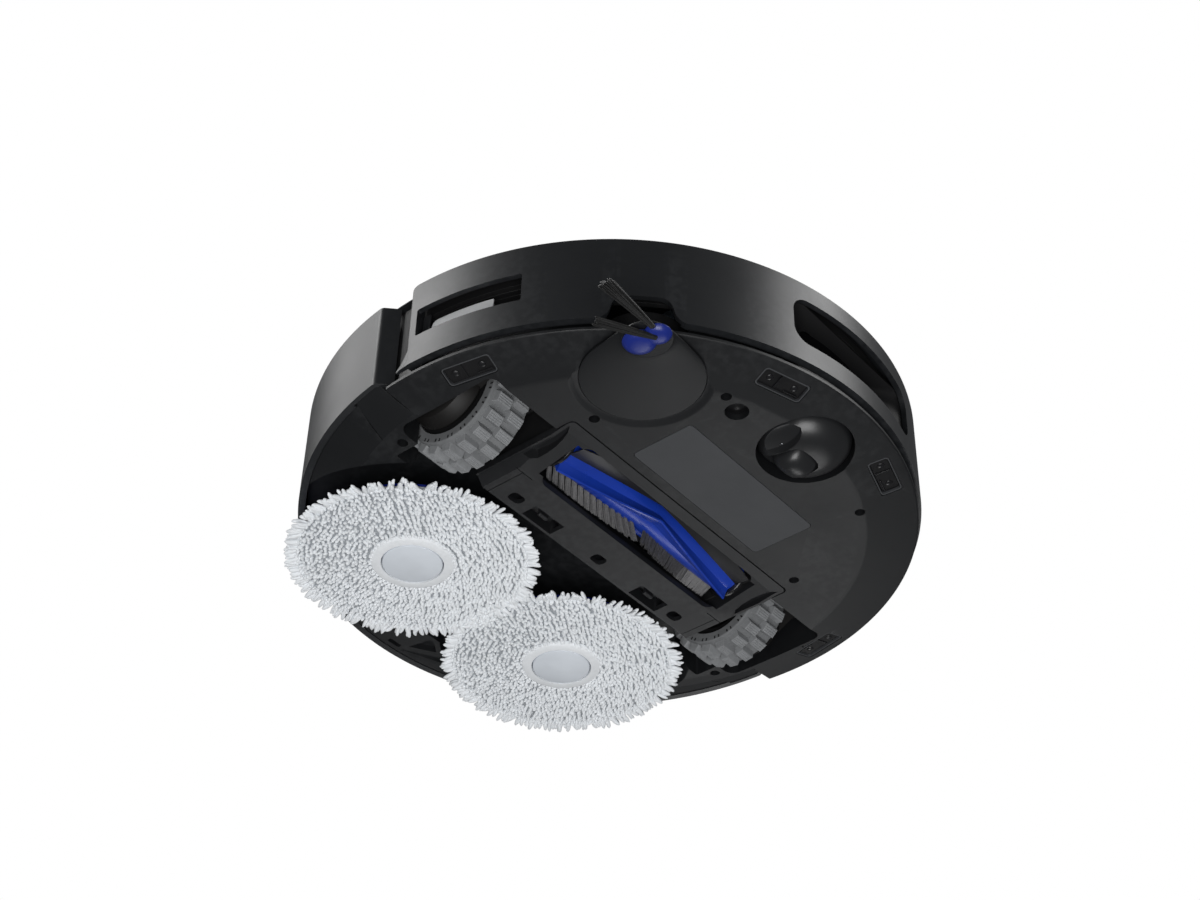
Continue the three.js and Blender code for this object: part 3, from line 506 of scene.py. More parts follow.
SLOT_PAINTS = {
    "body": body_paint, "base": base_paint, "inner": inner_and_slot_shade_paint, "label": label_and_rim_highlight_paint,
    "glass": glass_paint, "gloss": gloss_paint, "button": gloss_paint, "blue": blue_paint,
    "hub": hub_paint, "plate": plate_paint, "flap": flap_paint, "bristle": bristle_paint,
    "tuft": tuft_paint, "tyre": tyre_paint, "pad": pad_paint, "cap": cap_paint,
    "filter": filter_paint, "steel": steel_paint, "brass": brass_paint, "board": board_paint,
    "tank": tank_paint,
}


# ---------- camera, light and floor ----------
def add_camera():
    right = Vector((0.63506, -0.77223, 0.01875))
    down = Vector((0.50486, 0.39656, -0.76672))
    data = bpy.data.cameras.new("camera")
    data.lens = 65.13
    data.sensor_width = 36
    data.clip_start = 0.05
    data.clip_end = 30
    made = in_scene("camera", data)
    turn = Matrix((right, -down, -right.cross(down))).transposed().to_4x4()
    made.matrix_world = Matrix.Translation(Vector((-754.9, -631.2, -741.9)) * MM) @ turn
    bpy.context.scene.camera = made


def softbox(name, place, aim, width, height, power):
    """A large soft rectangular light, facing the point it is aimed at."""
    data = bpy.data.lights.new(name, "AREA")
    data.shape = "RECTANGLE"
    data.size = width
    data.size_y = height
    data.energy = power
    made = in_scene(name, data)
    made.location = place
    made.rotation_mode = "QUATERNION"
    made.rotation_quaternion = (Vector(aim) - Vector(place)).to_track_quat("-Z", "Y")
    made.visible_camera = False


def white_world(shine):
    """White behind the object, and a dimmer even light on it."""
    world = bpy.data.worlds.new("world")
    bpy.context.scene.world = world
    world.use_nodes = True
    tree = world.node_tree
    tree.nodes.clear()
    seen = tree.nodes.new("ShaderNodeBackground")
    lit = tree.nodes.new("ShaderNodeBackground")
    path = tree.nodes.new("ShaderNodeLightPath")
    mix = tree.nodes.new("ShaderNodeMixShader")
    out = tree.nodes.new("ShaderNodeOutputWorld")
    feed(tree, seen, {"Color": (1, 1, 1, 1)})
    feed(tree, lit, {"Color": (0.95, 0.97, 1, 1), "Strength": shine})
    feed(tree, mix, {"Fac": path.outputs["Is Camera Ray"], 1: lit.outputs[0], 2: seen.outputs[0]})
    feed(tree, out, {"Surface": mix.outputs[0]})


def pale_floor():
    """A floor that shows from above and lets the view and the light through from below."""
    half = 9000
    corners = [(-half, -half, 0), (half, -half, 0), (half, half, 0), (-half, half, 0)]
    floor = raw_object("floor", (corners, [(0, 1, 2, 3)]))
    floor.location.z = -1.2 * MM
    paint = Paint("floor", (0.5, 0.5, 0.5), 0.8)
    feed(paint.tree, paint.shader, {"Emission Color": (1, 1, 1, 1), "Emission Strength": 0.5})
    below = paint.node("NewGeometry", {}, "Backfacing")
    clear = paint.node("BsdfTransparent", {}, "BSDF")
    mix = paint.node("MixShader", {"Fac": below, 1: paint.shader.outputs["BSDF"], 2: clear}, "Shader")
    feed(paint.tree, paint.tree.nodes["Material Output"], {"Surface": mix})
    floor.data.materials.append(paint.material)
    floor.visible_diffuse = False
    floor.visible_glossy = False
    floor.visible_transmission = False
    floor.visible_shadow = False


bpy.context.scene.view_settings.view_transform = "Standard"
add_camera()
white_world(0.1)
pale_floor()
softbox("below_near", (-1.0, -0.85, -1.55), (0, 0, 0.02), 1.3, 1.3, 36)
softbox("below_far", (1.44, 0.8, -1.14), (0, 0, 0.01), 0.7, 0.7, 3.4)
softbox("left_back", (-1.25, 0.85, 1.35), (0, 0, 0.05), 0.7, 0.9, 13)
softbox("back", (-0.55, 1.35, 1.35), (0, 0, 0.05), 0.8, 0.8, 5)
softbox("front", (0.7, -1.45, 1.3), (0, 0, 0.05), 0.7, 0.9, 14.5)
softbox("top", (0.5, 0.5, 2.2), (0, 0, 0.08), 1.6, 1.6, 22)


# ---------- outlines that several pieces share ----------
def bumper_plan(end, corner):
    """Plan of the bumper's round wall, whose two ends turn inwards."""
    cx, cy = polar(end, BODY_R - corner)[:2]
    cy -= corner
    paths = []
    for r, bend_r in ((BODY_R, corner), (BODY_R - WALL, 0)):
        bend = arc(cx, cy, corner, 90, end - 90, 22.5) if bend_r else [(cx - 1.4, cy + corner - WALL)]
        path = [(TOP_FLANGE_R, bend[0][1])] + bend
        path += [polar(a, r)[:2] for a in spaced(end - 1, 0, 1.0)]
        paths.append(path + [(-x, y) for x, y in reversed(path[:-1])])
    outer, inner = paths
    return outer + inner[::-1]


def rear_plan():
    """Plan of the rear shell, whose front ends turn inwards by a round corner and a slanting face."""
    lead = SHELL_START + 1.2
    cx, cy = polar(lead, BODY_R - 4, 0, REAR_Y)[:2]
    paths = []
    for r, bend_r in ((BODY_R, 4), (BODY_R - 2.6, 1.4)):
        bend = arc(cx, cy, bend_r, -45, lead - 90)
        run = bend[0][0] - TOP_FLANGE_R
        path = [(TOP_FLANGE_R, bend[0][1] - run)] + bend
        path += [polar(a, r, 0, REAR_Y)[:2] for a in spaced(lead, 180, 1.0)[1:]]
        paths.append(path + [(-x, y) for x, y in reversed(path[:-1])])
    outer, inner = paths
    return outer + inner[::-1]


def rear_edge(y):
    """Height of the rear shell's lower edge, which drops towards the back."""
    part = (y - REAR_EDGE_Y0) / (REAR_EDGE_Y1 - REAR_EDGE_Y0)
    return REAR_EDGE_Z0 + (REAR_EDGE_Z1 - REAR_EDGE_Z0) * part


def below_rear_edge():
    return prism_x([(-20, rear_edge(-20)), (-20, -20), (FAR, -20), (FAR, rear_edge(FAR))], -FAR, FAR)


def body_ring(r, z):
    """The outline of the whole body: a front and a rear half circle joined by short straight sides."""
    return [(x, y, z) for x, y in arc(0, FRONT_Y, r, 180, 360, 1.5) + arc(0, REAR_Y, r, 0, 180, 1.5)]


def bay_shapes():
    """The space that the mops lift into: two round hollows with leaning walls, and their middle."""
    wall = [(0, -1), (80, -1), (79.2, 10.4), (78, 11.6), (76.2, 14), (74.2, 18), (72.6, 23), (71.6, 28),
        (71.2, BAY_CEILING), (0, BAY_CEILING)]
    circles = [lathe(wall, side * MOP_X, MOP_Y, 128) for _, side in SIDES]
    front = block(-COVER_X - GAP, COVER_X + GAP, BAY_Y0, MOP_Y, -0.1, BAY_CEILING + 0.01)
    rear = block(-60, 60, MOP_Y, 149, -0.2, BAY_CEILING + 0.02)
    return [*circles, front, rear]


def well_shape(side):
    """The hole in the underside round a wheel and its gear cover."""
    x0, x1, inner, round_r, small = 96, 149, 134, 6, 1.5
    outline = [(x0, -42)] + arc(x1 - round_r, -42 + round_r, round_r, -90, 0)
    outline += arc(x1 - round_r, 25 - round_r, round_r, 0, 90) + [(inner, 25)]
    outline += arc(inner - small, 41 - small, small, 0, 90) + [(x0, 41)]
    well = prism(outline, 0, 60)
    return well if side > 0 else mirrored(well)


def slope_frame(angle, r):
    """Where the sloping rim of the underside is, with X along it, Y outwards and Z up into the body."""
    slope = atan2(BASE_EDGE_Z - BASE_Z, BASE_R - BASE_FLAT_R)
    place = Vector(polar(angle, r, BASE_Z + (r - BASE_FLAT_R) * tan(slope)))
    turn = Matrix.Rotation(radians(angle), 4, "Z") @ Matrix.Rotation(-slope, 4, "X")
    return Matrix.Translation(place) @ turn


CLIFFS = [(place, side_name, side * angle, r) for side_name, side in SIDES
    for place, angle, r in (("front", 17.4, 160.4), ("side", 78.6, 161.2))]
CARPET = (-49, -126)
SCREWS = [(side * x, y) for _, side in SIDES for x, y in ((62, -128.7), (91, -63), (139.5, 31))]


# ---------- underside ----------
def make_base():
    profile = [(0, BASE_Z), (BASE_FLAT_R - 1.5, BASE_Z), (BASE_FLAT_R, BASE_Z + 0.05),
        (BASE_FLAT_R + 1.5, BASE_Z + 0.3), (BASE_R - 1, BASE_EDGE_Z - 0.2), (BASE_R, BASE_EDGE_Z + 0.5),
        (BASE_R, BASE_EDGE_Z + 2.2), (CORE_R, BASE_EDGE_Z + 2.2), (CORE_R, BASE_TOP), (0, BASE_TOP)]
    disc = lathe(profile, 0, FRONT_Y, 240)
    brush_gap = 0.9
    cuts = [slab(-COVER_X - brush_gap, COVER_X + brush_gap, COVER_Y0 - brush_gap, COVER_Y1 + 6, 3.5, 0, 60)]
    cuts += bay_shapes()
    cuts.append(arc_wall(PANEL_R0, 200, PANEL_START, 360 - PANEL_START, 0, 60))
    cuts.append(arc_wall(118, 200, 150, 210, -0.5, 60))
    cuts += [well_shape(side) for _, side in SIDES]
    recess = slab(-14.7, 14.7, -6.4, 6.4, 2.2, -3, 4.2)
    cuts += [moved(recess, slope_frame(angle, r)) for _, _, angle, r in CLIFFS]
    cuts += [cylinder(x, y, 0, BASE_Z + 7, 3.0, 32) for x, y in SCREWS]
    round_holes = ((*CARPET, BASE_Z + 5, 6.6, 48), (0, CASTER_Y, 31, CASTER_R + 0.4, 96),
        (ARM_X, ARM_Y, 60, ARM_R + 0.6, 96))
    cuts += [cylinder(x, y, 0, top, r, sides) for x, y, top, r, sides in round_holes]
    cuts.append(slab(-56, 56, -101, -60.5, 3, 0, BASE_Z + 0.9))
    cuts.append(slab(150.5, 154.5, -53, -26, 1.2, 0, BASE_Z + 3))
    cuts.append(block(-61, 61, -107, -56, BASE_Z + 2.7, 60))
    groove = [(29, -1), (39.5, -1), (39.5, 10.45), (38, 10.7), (36.4, 11.2), (35, 11.6), (33.8, 11.7),
        (33.8, 13.2), (29, 13.2)]
    cuts.append(lathe(groove, ARM_X, ARM_Y, 128))
    add("underside", carve(disc, cuts=cuts), "base", ["chassis_base"], edge=0.35)


def rear_panel_block(reach):
    """The underside outside the flat base: it rises from the base to the rear shell's lower edge."""
    slope = (BASE_EDGE_Z - BASE_Z) / (BASE_R - BASE_FLAT_R)
    near = BASE_Z + slope * (PANEL_R0 - BASE_FLAT_R)
    rings = []
    for a in spaced(PANEL_START, 360 - PANEL_START, 1.3):
        back = min(1, max(0, (min(a, 360 - a) - 130) / 20))
        back = back * back * (3 - 2 * back)
        middle = near + (16.9 - near) * back
        inside = PANEL_R0 - 0.1 - 34 * back
        x, y, _ = polar(a, reach, 0, REAR_Y)
        edge = rear_edge(y) + 0.5
        curve = [polar(a, inside, middle), polar(a, PANEL_R0, middle),
            polar(a, 161.5, middle + (edge - middle) * 0.42, (FRONT_Y + REAR_Y) / 2), (x, y, edge)]
        rings.append(curve + [(x, y, BASE_TOP - 0.1), polar(a, inside, BASE_TOP - 0.1)])
    return loft(rings)


def make_rear_panels():
    """The two skirts ahead of the seam, and the panel behind it with the mops' wedge and slots."""
    wells = [well_shape(side) for _, side in SIDES]
    behind = block(-FAR, FAR, PANEL_Y, FAR, -1, 61)
    front = carve(rear_panel_block(BODY_R - WALL + 0.3), cuts=[behind, *wells])
    add("side_skirts", front, "base", edge=0.2)
    ahead = block(-FAR, FAR, -FAR, PANEL_Y + 0.45, -1, 61)
    ridge = loft([[(9, 172.3, 16.4), (10, 173.9, 16.3), (10, 173.9, 19), (9, 172, 19)],
        [(34, 160.5, 14.9), (40, 168, 15.9), (40, 168, 19), (33, 159, 19)]])
    slots = [slab(-4.5, 5.5, 169.6, 172.6, 1.4, 0, 21),
        loft([[(9, 167, z), (12, 151, z), (17, 153, z), (24, 158, z)] for z in (0, 21)])]
    rear = carve(rear_panel_block(PANEL_R1), joins=[ridge], cuts=[ahead, *wells, *bay_shapes(), *slots])
    add("rear_panel", rear, "base", ["rear_fairing"])


def make_rear_shell():
    wall = prism(rear_plan(), 10, RIM_Z)
    rim = arc_wall(TOP_FLANGE_R, BODY_R - 1, SHELL_START + 2, 358 - SHELL_START, TOP_FLANGE_Z, RIM_Z,
        REAR_Y)
    lip_r = PANEL_R1 + 0.35
    tops = [(a, rear_edge(polar(a, lip_r, 0, REAR_Y)[1]) + 2.5) for a in spaced(102, 258, 1.5)]
    lip = sill(tops, lip_r, BODY_R - 1, 10, REAR_Y)
    sweeps = [cylinder(side * MOP_X, MOP_Y, 0, 17, MOP_PLATE_R + 2, 96) for _, side in SIDES]
    contacts = [radial(rounded(-7, 7, 28, 38, 1.5), 180 - 10 * side, 160, 180, REAR_Y) for _, side in SIDES]
    made = carve(wall, joins=[rim, lip], cuts=[below_rear_edge(), *sweeps, *contacts])
    add("rear_skin", made, "body", ["rear_shell"], edge=0.8, segments=3)
    backing = together(*[radial(rounded(-8, 8, 27, 39, 1), 180 - 10 * side, PANEL_R1 + 0.1, 171.4, REAR_Y)
        for _, side in SIDES])
    add("contact_backing", backing, "inner", edge=0.2)


def make_screws():
    """Black pan heads with a cross, deep in the six holes of the underside."""
    shapes = []
    for x, y in SCREWS:
        head = [(0, BASE_Z + 4.4), (1.2, BASE_Z + 4.5), (2.1, BASE_Z + 5.1), (2.7, BASE_Z + 6),
            (2.7, BASE_Z + 7.2), (0, BASE_Z + 7.2)]
        shapes.append(lathe(head, x, y, 24))
    crosses = [block(x - w, x + w, y - d, y + d, 0, BASE_Z + 5.6) for x, y in SCREWS
        for w, d in ((1.5, 0.28), (0.28, 1.5))]
    made = carve(together(*shapes), cuts=[together(*crosses[::2]), together(*crosses[1::2])])
    add("base_screws", made, "gloss", paint=flap_paint, edge=0.08)


def make_carpet_sensor():
    """A dark domed lens, sunk in its round hole."""
    lens = lathe([(0, BASE_Z + 2.6), (2.4, BASE_Z + 2.8), (3.8, BASE_Z + 3.6), (6.3, BASE_Z + 3.9),
        (6.3, BASE_Z + 5), (0, BASE_Z + 5)], *CARPET, 48)
    add("carpet_lens", lens, "gloss", ["carpet_sensor"], paint=lens_paint, edge=0.2)


def make_cliff_sensors():
    """Each recess holds a flat dark window in a thin rim painted lighter as a painted highlight, with two
    small lenses and two ribs on it.
    """
    for place, side_name, angle, r in CLIFFS:
        turn = slope_frame(angle, r)
        window = moved(slab(-13.4, 13.4, -5.1, 5.1, 1.6, 1.5, 4.0), turn)
        add(f"cliff_glass_{place}_{side_name}", window, "glass", [f"cliff_window_{place}_{side_name}"],
            paint=lens_paint)
        # The rim is painted lighter than the underside: a painted highlight along the recess's edge.
        rim = carve(moved(slab(-14.4, 14.4, -6.1, 6.1, 2.0, 0.35, 4.1), turn),
            cuts=[moved(slab(-13.7, 13.7, -5.4, 5.4, 1.7, -1, 5), turn)])
        add(f"cliff_rim_{place}_{side_name}", rim, "base", paint=label_and_rim_highlight_paint, edge=0.15)
        parts = [lathe([(0, 0.75), (1.0, 0.85), (1.9, 1.2), (2.2, 1.7), (0, 1.7)], x, -0.4, 32)
            for x in (-8.4, 7.6)]
        parts += [block(-3.4, -2.7, -4.2, 4.2, 0.9, 1.7), block(3.0, 12.0, 3.1, 3.8, 0.9, 1.7)]
        add(f"cliff_lenses_{place}_{side_name}", moved(together(*parts), turn), "gloss", edge=0.1)


# ---------- bumper ----------
def make_bumper():
    end = BUMPER_END - 0.8
    end_y = polar(end, BODY_R)[1]
    lip = arc_wall(170.4, BODY_R - WALL + 1, -end + 1, end - 1, BUMPER_Z, BUMPER_Z + 1.6)
    rim = arc_wall(TOP_FLANGE_R, BODY_R - 1, -end + 0.6, end - 0.6, TOP_FLANGE_Z, RIM_Z)
    tips = []
    near = BODY_R - WALL + 0.2
    for _, side in SIDES:
        rings = []
        for a in spaced(88.2, BUMPER_TIP, 0.25):
            part = max(0.0, (a - 88.8) / (BUMPER_TIP - 88.8))
            top = BUMPER_Z + 1.4 + 15 * (1 - part) ** 2.2
            out = BODY_R - 0.15 - 1.2 * part ** 3
            section = ((near, BUMPER_Z), (out, BUMPER_Z), (out, top), (near, top))
            rings.append([polar(side * a, r, z) for r, z in section])
        tips.append(loft(rings))
    notch = [(-27, BUMPER_Z - 5), (27, BUMPER_Z - 5), (23, BUMPER_Z)]
    right_side = bezier((23, BUMPER_Z), (17.5, BUMPER_Z + 2), (16.5, BUMPER_Z + 8))
    right_side += bezier((16.5, BUMPER_Z + 8), (15, BUMPER_Z + 16), (8, BUMPER_Z + 16))[1:]
    notch = notch[:2] + right_side + [(-u, v) for u, v in reversed(right_side)]
    pocket_half = BODY_R * sin(radians(18))
    pocket = radial(rounded(-pocket_half, pocket_half, 35.5, 67.5, 10), 0, 100, 190)
    window = radial(rounded(-31.9, 31.9, 41, 60, 1.4), -77.5, 140, 190)
    corner = [(end_y + 3, RIM_Z + 3), (end_y - 5, RIM_Z + 3)] + arc(end_y - 5, RIM_Z - 5, 5, 90, 0)
    corner.append((end_y + 3, RIM_Z - 5))
    made = carve(prism(bumper_plan(end, 1.6), BUMPER_Z, RIM_Z), joins=[lip, rim, *tips],
        cuts=[radial(notch, -46, 150, 190), pocket, window, prism_x(corner, -FAR, FAR)])
    add("bumper_skin", made, "body", ["bumper_shell"], body="bumper", edge=0.9, segments=3)


def bezier(start, control, end, count=8):
    """Points on a curve that leaves and arrives towards its control point."""
    ends = list(zip(start, control, end))
    parts = [i / count for i in range(count + 1)]
    return [tuple((1 - t) ** 2 * a + 2 * t * (1 - t) * b + t * t * c for a, b, c in ends) for t in parts]


def make_bezel():
    """The funnel from the bumper's front opening down to the dark glass."""
    def ring(t, wider):
        half = (12.2 + (18.1 - 12.2) * t) * radians(165) + wider
        low, high = 37.4 - 1.9 * t - wider, 64.6 + 2.9 * t + wider
        r = 159.0 + (171.6 - 159.0) * t
        corner = 7 + 3 * t + wider
        return [polar(degrees(u / 165), r, v) for u, v in rounded(-half, half, low, high, corner, 9)]
    depth = spaced(0, 1, 0.125)
    shape = loft([ring(t, 0) for t in depth] + [ring(t, 1.2) for t in reversed(depth)], closed=True)
    add("pocket_bezel", shape, "gloss", ["bumper_bezel"], body="bumper", paint=bezel_paint, crease=50)
    glass = arc_wall(156.5, 158.5, -14, 14, 36, 67, step=0.7)
    add("pocket_glass", glass, "glass", ["bumper_glass"], body="bumper")
    lower = [(a, 50 + 1.5 * cos(radians(a * 7))) for a in spaced(-12.1, 12.1, 0.8)]
    add("pocket_lower_panel", sill(lower, 158.6, 159.4, 37.6), "gloss", body="bumper", edge=0.15)


def make_inner_frame():
    wall = arc_wall(CORE_R - WALL, CORE_R, -97, 97, BASE_TOP + GAP, TOP_FLANGE_Z - 0.4)
    cuts = [arc_wall(150, 180, -22.5, 22.5, 30.5, 71), arc_wall(150, 180, -90, -65, 39, 62),
        cylinder(ARM_X, ARM_Y, 30, 43, ARM_R + 0.6, 96)]
    add("inner_wall", carve(wall, cuts=cuts), "inner", ["inner_frame"])


def make_side_sensor():
    """What the bumper's right window shows: a dark housing, its pale panel and two thin posts."""
    outer = arc_wall(157.5, 163, -89.5, -65.5, 39.5, 62.5, step=1)
    hollow = arc_wall(159.5, 170, -88.5, -66.5, 41, 61)
    add("side_housing", carve(outer, cuts=[hollow]), "inner", ["side_sensor_housing"])
    pale = []
    for a in spaced(-86.4, -73.2, 0.4):
        drop_at_end = max(0.0, 1 - (a + 86.4) / 1.4)
        top = 54 - 4 * (1 - sqrt(max(0.0, 1 - drop_at_end ** 2)))
        pale.append((a, top))
    add("side_sensor_panel", sill(pale, 167, 168, 42), "cap", paint=grey_paint, edge=0.2)
    posts = together(arc_wall(167.6, 168.6, -88.3, -86.7, 41.6, 59.8, step=0.4),
        arc_wall(169.2, 170.2, -89.0, -88.7, 41.6, 59.8, step=0.4))
    add("side_sensor_posts", posts, "inner", body="bumper", paint=clip_paint, edge=0.1)


def make_under_clips():
    """Moulded clips and stops in the gap between the bumper and the underside."""
    shapes = []
    right = ((-17.5, -15.5), (-15.1, -13), (-84, -81.5), (-80.9, -77.6), (-76.8, -73))
    left = ((13, 17.5), (73, 84))
    for start, end in right + left:
        shapes.append(arc_wall(166.2, 170.2, start, end, 18.6, 21.6))
        shapes.append(arc_wall(165.8, 167.6, start, end, 17.4, 22.1))
    add("bumper_clips", together(*shapes), "base", paint=clip_paint, edge=0.25)


# ---------- brush cover and latches ----------
LATCHES = (("right", -48), ("left", 46))


def make_brush_cover():
    y0, y1, strip = COVER_Y0, COVER_Y1, COVER_STRIP_Z
    profile = [(y0, BASE_Z), (-46, BASE_Z), (-30, 7.6), (-11.5, strip), (y1, strip), (y1, 9), (13.5, 13.6),
        (y0, 13.6)]
    cuts = [slab(-77, 77, -46, -11.2, 7, 0, 20), block(-86, 86, -8.5, 13, strip + 3, 20),
        cylinder_x(-80, 80, BRUSH_Y, BRUSH_Z, BRUSH_R + 1, 96)]
    for _, centre in LATCHES:
        cuts.append(block(centre - 12, centre + 12, 4, 14.5, 0, 19.5))
    for centre in (-72, -1, 69):
        cuts.append(prism(rounded(centre - 4.8, centre + 4.8, 4.6, 11.6, 2.4, 45), 0, strip + 3.4))
    for _, side in SIDES:
        chamfer = [(91, -1), (120, -1), (120, 9), (95, 9), (91, strip)]
        rings = [[(side * x, y, z) for x, z in chamfer] for y in (-60, 20)]
        cuts.append(loft(rings))
        bow = [(88 + 6.6 * ((y + 30) / 21) ** 2, y) for y in (-45, -40, -34, -28, -22)]
        crescent = [(94.6, -49), *bow, (94.6, -16)]
        long_line = ((86.2, -9), (86.7, -9), (86.7, 20), (86.2, 20))
        short_line = ((78.5, -9.4), (97, -9.4), (97, -8.9), (78.5, -8.9))
        for outline, top in ((crescent, 12.4), (long_line, strip + 0.7), (short_line, 4.9)):
            cuts.append(prism([(side * x, y) for x, y in outline], 0, top))
    keep = slab(-COVER_X, COVER_X, y0, y1 + 6, 3, -6, 31)
    corners = carve(slab(-130, 130, -90, 60, 5, -5, 30), cuts=[keep])
    made = carve(prism_x(profile, -COVER_X, COVER_X), cuts=[*cuts, corners])
    add("brush_guard", made, "base", ["brush_cover"], paint=cover_paint, edge=0.35)


def make_latches():
    """A sprung tongue with a turned-up finger tab in each opening of the cover."""
    for side_name, centre in LATCHES:
        plate = slab(centre - 8, centre + 8, 4.5, 10.8, 1.0, 9.6, 12)
        hook = [(7.0, 9.8), (7.0, 4.7), (8.4, 4.3), (9.8, 4.7), (9.8, 6.0), (8.8, 6.0), (8.6, 9.8)]
        ramp = [(5.2, 9.8), (6.4, 6.8), (7.2, 6.8), (7.2, 9.8)]
        tongue = together(plate, prism_x(hook, centre - 5, centre + 2),
            prism_x(ramp, centre + 2.6, centre + 6.4))
        node = f"brush_latch_{side_name}"
        add(f"latch_{side_name}", tongue, "base", [node], body=node, paint=cover_paint, edge=0.25)


# ---------- main brush ----------
def on_roller(start, x, out, ahead, lean=0.0):
    """A point out from the roller's axis and ahead of a row, which leans back towards both ends."""
    turn = radians(start + BRUSH_SWEEP * abs(x) / BRUSH_HALF)
    c, s = cos(turn), sin(turn)
    return (x + lean, BRUSH_Y + out * c - ahead * s, BRUSH_Z + out * s + ahead * c)


def chevron(start, profile):
    """A strip along the roller, with a section of (out from the axis, ahead)."""
    return loft([[on_roller(start, x, out, ahead) for out, ahead in profile]
        for x in spaced(-BRUSH_HALF, BRUSH_HALF, 2.5)])


def make_main_brush():
    core = [(0, -84), (4, -84), (4, -BRUSH_HALF), (BRUSH_CORE_R, -BRUSH_HALF), (BRUSH_CORE_R, BRUSH_HALF),
        (4, BRUSH_HALF), (4, 84), (0, 84)]
    fin = [(8, -4.0), (11.5, -2.6), (13.5, -1.6), (15.5, -1.1), (16.8, -0.9), (17.3, -0.2), (16.9, 0.6),
        (15.5, 1.0), (13.5, 1.8), (11.5, 3.4), (8, 5.0)]
    holder = [(8, -3.6), (11.5, -3.0), (13.2, -2.3), (13.8, -1.2), (13.8, 1.2), (13.2, 2.3), (11.5, 3.0),
        (8, 3.6)]
    blue = together(lathe_x(core, BRUSH_Y, BRUSH_Z, 64), *[chevron(a, fin) for a in (-131, 49)],
        *[chevron(a, holder) for a in (-212, -32)])
    add("brush_roller", blue, "blue", ["main_brush_core"], body="main_brush", crease=38)
    edge = [(10.6, 2.6), (13.8, 1.4), (17, -0.2), (19.6, -2.0), (19.8, -1.5), (17.3, 0.5), (14.2, 2.2),
        (11, 3.6)]
    for index, start in ((1, -190), (2, -10)):
        flap = chevron(start, edge)
        add(f"brush_flap_{index}", flap, "flap", [f"main_brush_flap_{index}"], body="main_brush", crease=30)
    rings = []
    for side in (-1, 1):
        rings.append(lathe_x([(4.2, side * 75.3), (13.5, side * 75.3), (14.2, side * 76),
            (14.2, side * 77.6), (11, side * 78.6), (4.2, side * 78.6)], BRUSH_Y, BRUSH_Z))
        rings.append(lathe_x([(8, side * 78.4), (11.6, side * 78.4), (11.6, side * 81), (8, side * 81)],
            BRUSH_Y, BRUSH_Z))
    add("brush_ends", together(*rings), "gloss", body="main_brush", edge=0.2)


def strand(a, b, r, bend=(0, 0, 0), sides=3, steps=2):
    """One bristle from a to b, r thick at its root, pushed sideways by bend in its middle."""
    a, b, bend = Vector(a), Vector(b), Vector(bend)
    along = (b - a).normalized()
    side = along.orthogonal().normalized()
    up = along.cross(side)
    rings = []
    for i in range(steps + 1):
        t = i / steps
        centre = a.lerp(b, t) + bend * (4 * t * (1 - t))
        size = r * (1 - 0.2 * t)
        rings.append([tuple(centre + side * size * cos(tau * k / sides) + up * size * sin(tau * k / sides))
            for k in range(sides)])
    return loft(rings)


def make_brush_bristles():
    """Slanted flat tufts on the right half of each row, and a dense fine row on the left half."""
    chance = random.Random(3)
    for index, start in ((1, -75), (2, 105)):
        shapes = []
        for x in spaced(-73, -10, 4.9):
            for i in range(24):
                across = -1.5 + 3.0 * (i % 12) / 11
                layer = -0.9 if i < 12 else 0.9
                tip = BRUSH_R - 0.1 - 0.9 * chance.random()
                root = on_roller(start, x + across * 0.7, 10.6, layer * 1.2)
                end = on_roller(start, x + across, tip, layer, 8.0)
                shapes.append(strand(root, end, 0.17, sides=4, steps=1))
        for i in range(620):
            x = 1 + 73 * i / 620 + chance.uniform(-0.2, 0.2)
            ahead = chance.uniform(-1.2, 1.2)
            tip = BRUSH_R - 0.1 - 2.2 * chance.random() ** 2
            root = on_roller(start, x, 11.0, ahead)
            end = on_roller(start, x, tip, ahead * 1.4, chance.uniform(-0.6, 0.6))
            shapes.append(strand(root, end, 0.17, steps=1))
        made = together(*shapes)
        add(f"bristle_row_{index}", made, "bristle", [f"main_brush_bristles_{index}"], body="main_brush",
            crease=60)


# ---------- side brush ----------
def make_swing_arm():
    """The mound that leans out from the arm's round foot to the brush, and its stem in the body."""
    rings = []
    skirt = 64
    low, high = 11.3, HUB_Z1 + GAP
    for t in spaced(0, 1, 0.05):
        ease = 1 - (1 - t) ** 2.2
        r = SKIRT_R + (13.2 - SKIRT_R) * ease
        centre = (ARM_X + HUB_X * ease, ARM_Y + HUB_Y * ease)
        rings.append([(px, py, low + (high - low) * t) for px, py in circle(*centre, r, skirt)])
    rings.reverse()
    rings.append([(px, py, 12.4) for px, py in circle(ARM_X, ARM_Y, SKIRT_R, skirt)])
    rings.append([(px, py, 12.6) for px, py in circle(ARM_X, ARM_Y, ARM_R - 0.2, skirt)])
    add("swing_arm", loft(rings), "base", ["side_brush_arm"], body="side_brush_arm", edge=0.4)
    stem = lathe([(0, 12.5), (ARM_R - 0.3, 12.5), (ARM_R - 0.3, 21), (26, 22.3), (26, 34), (24, 36),
        (0, 36)], ARM_X, ARM_Y, 96)
    add("arm_stem", stem, "inner", body="side_brush_arm")


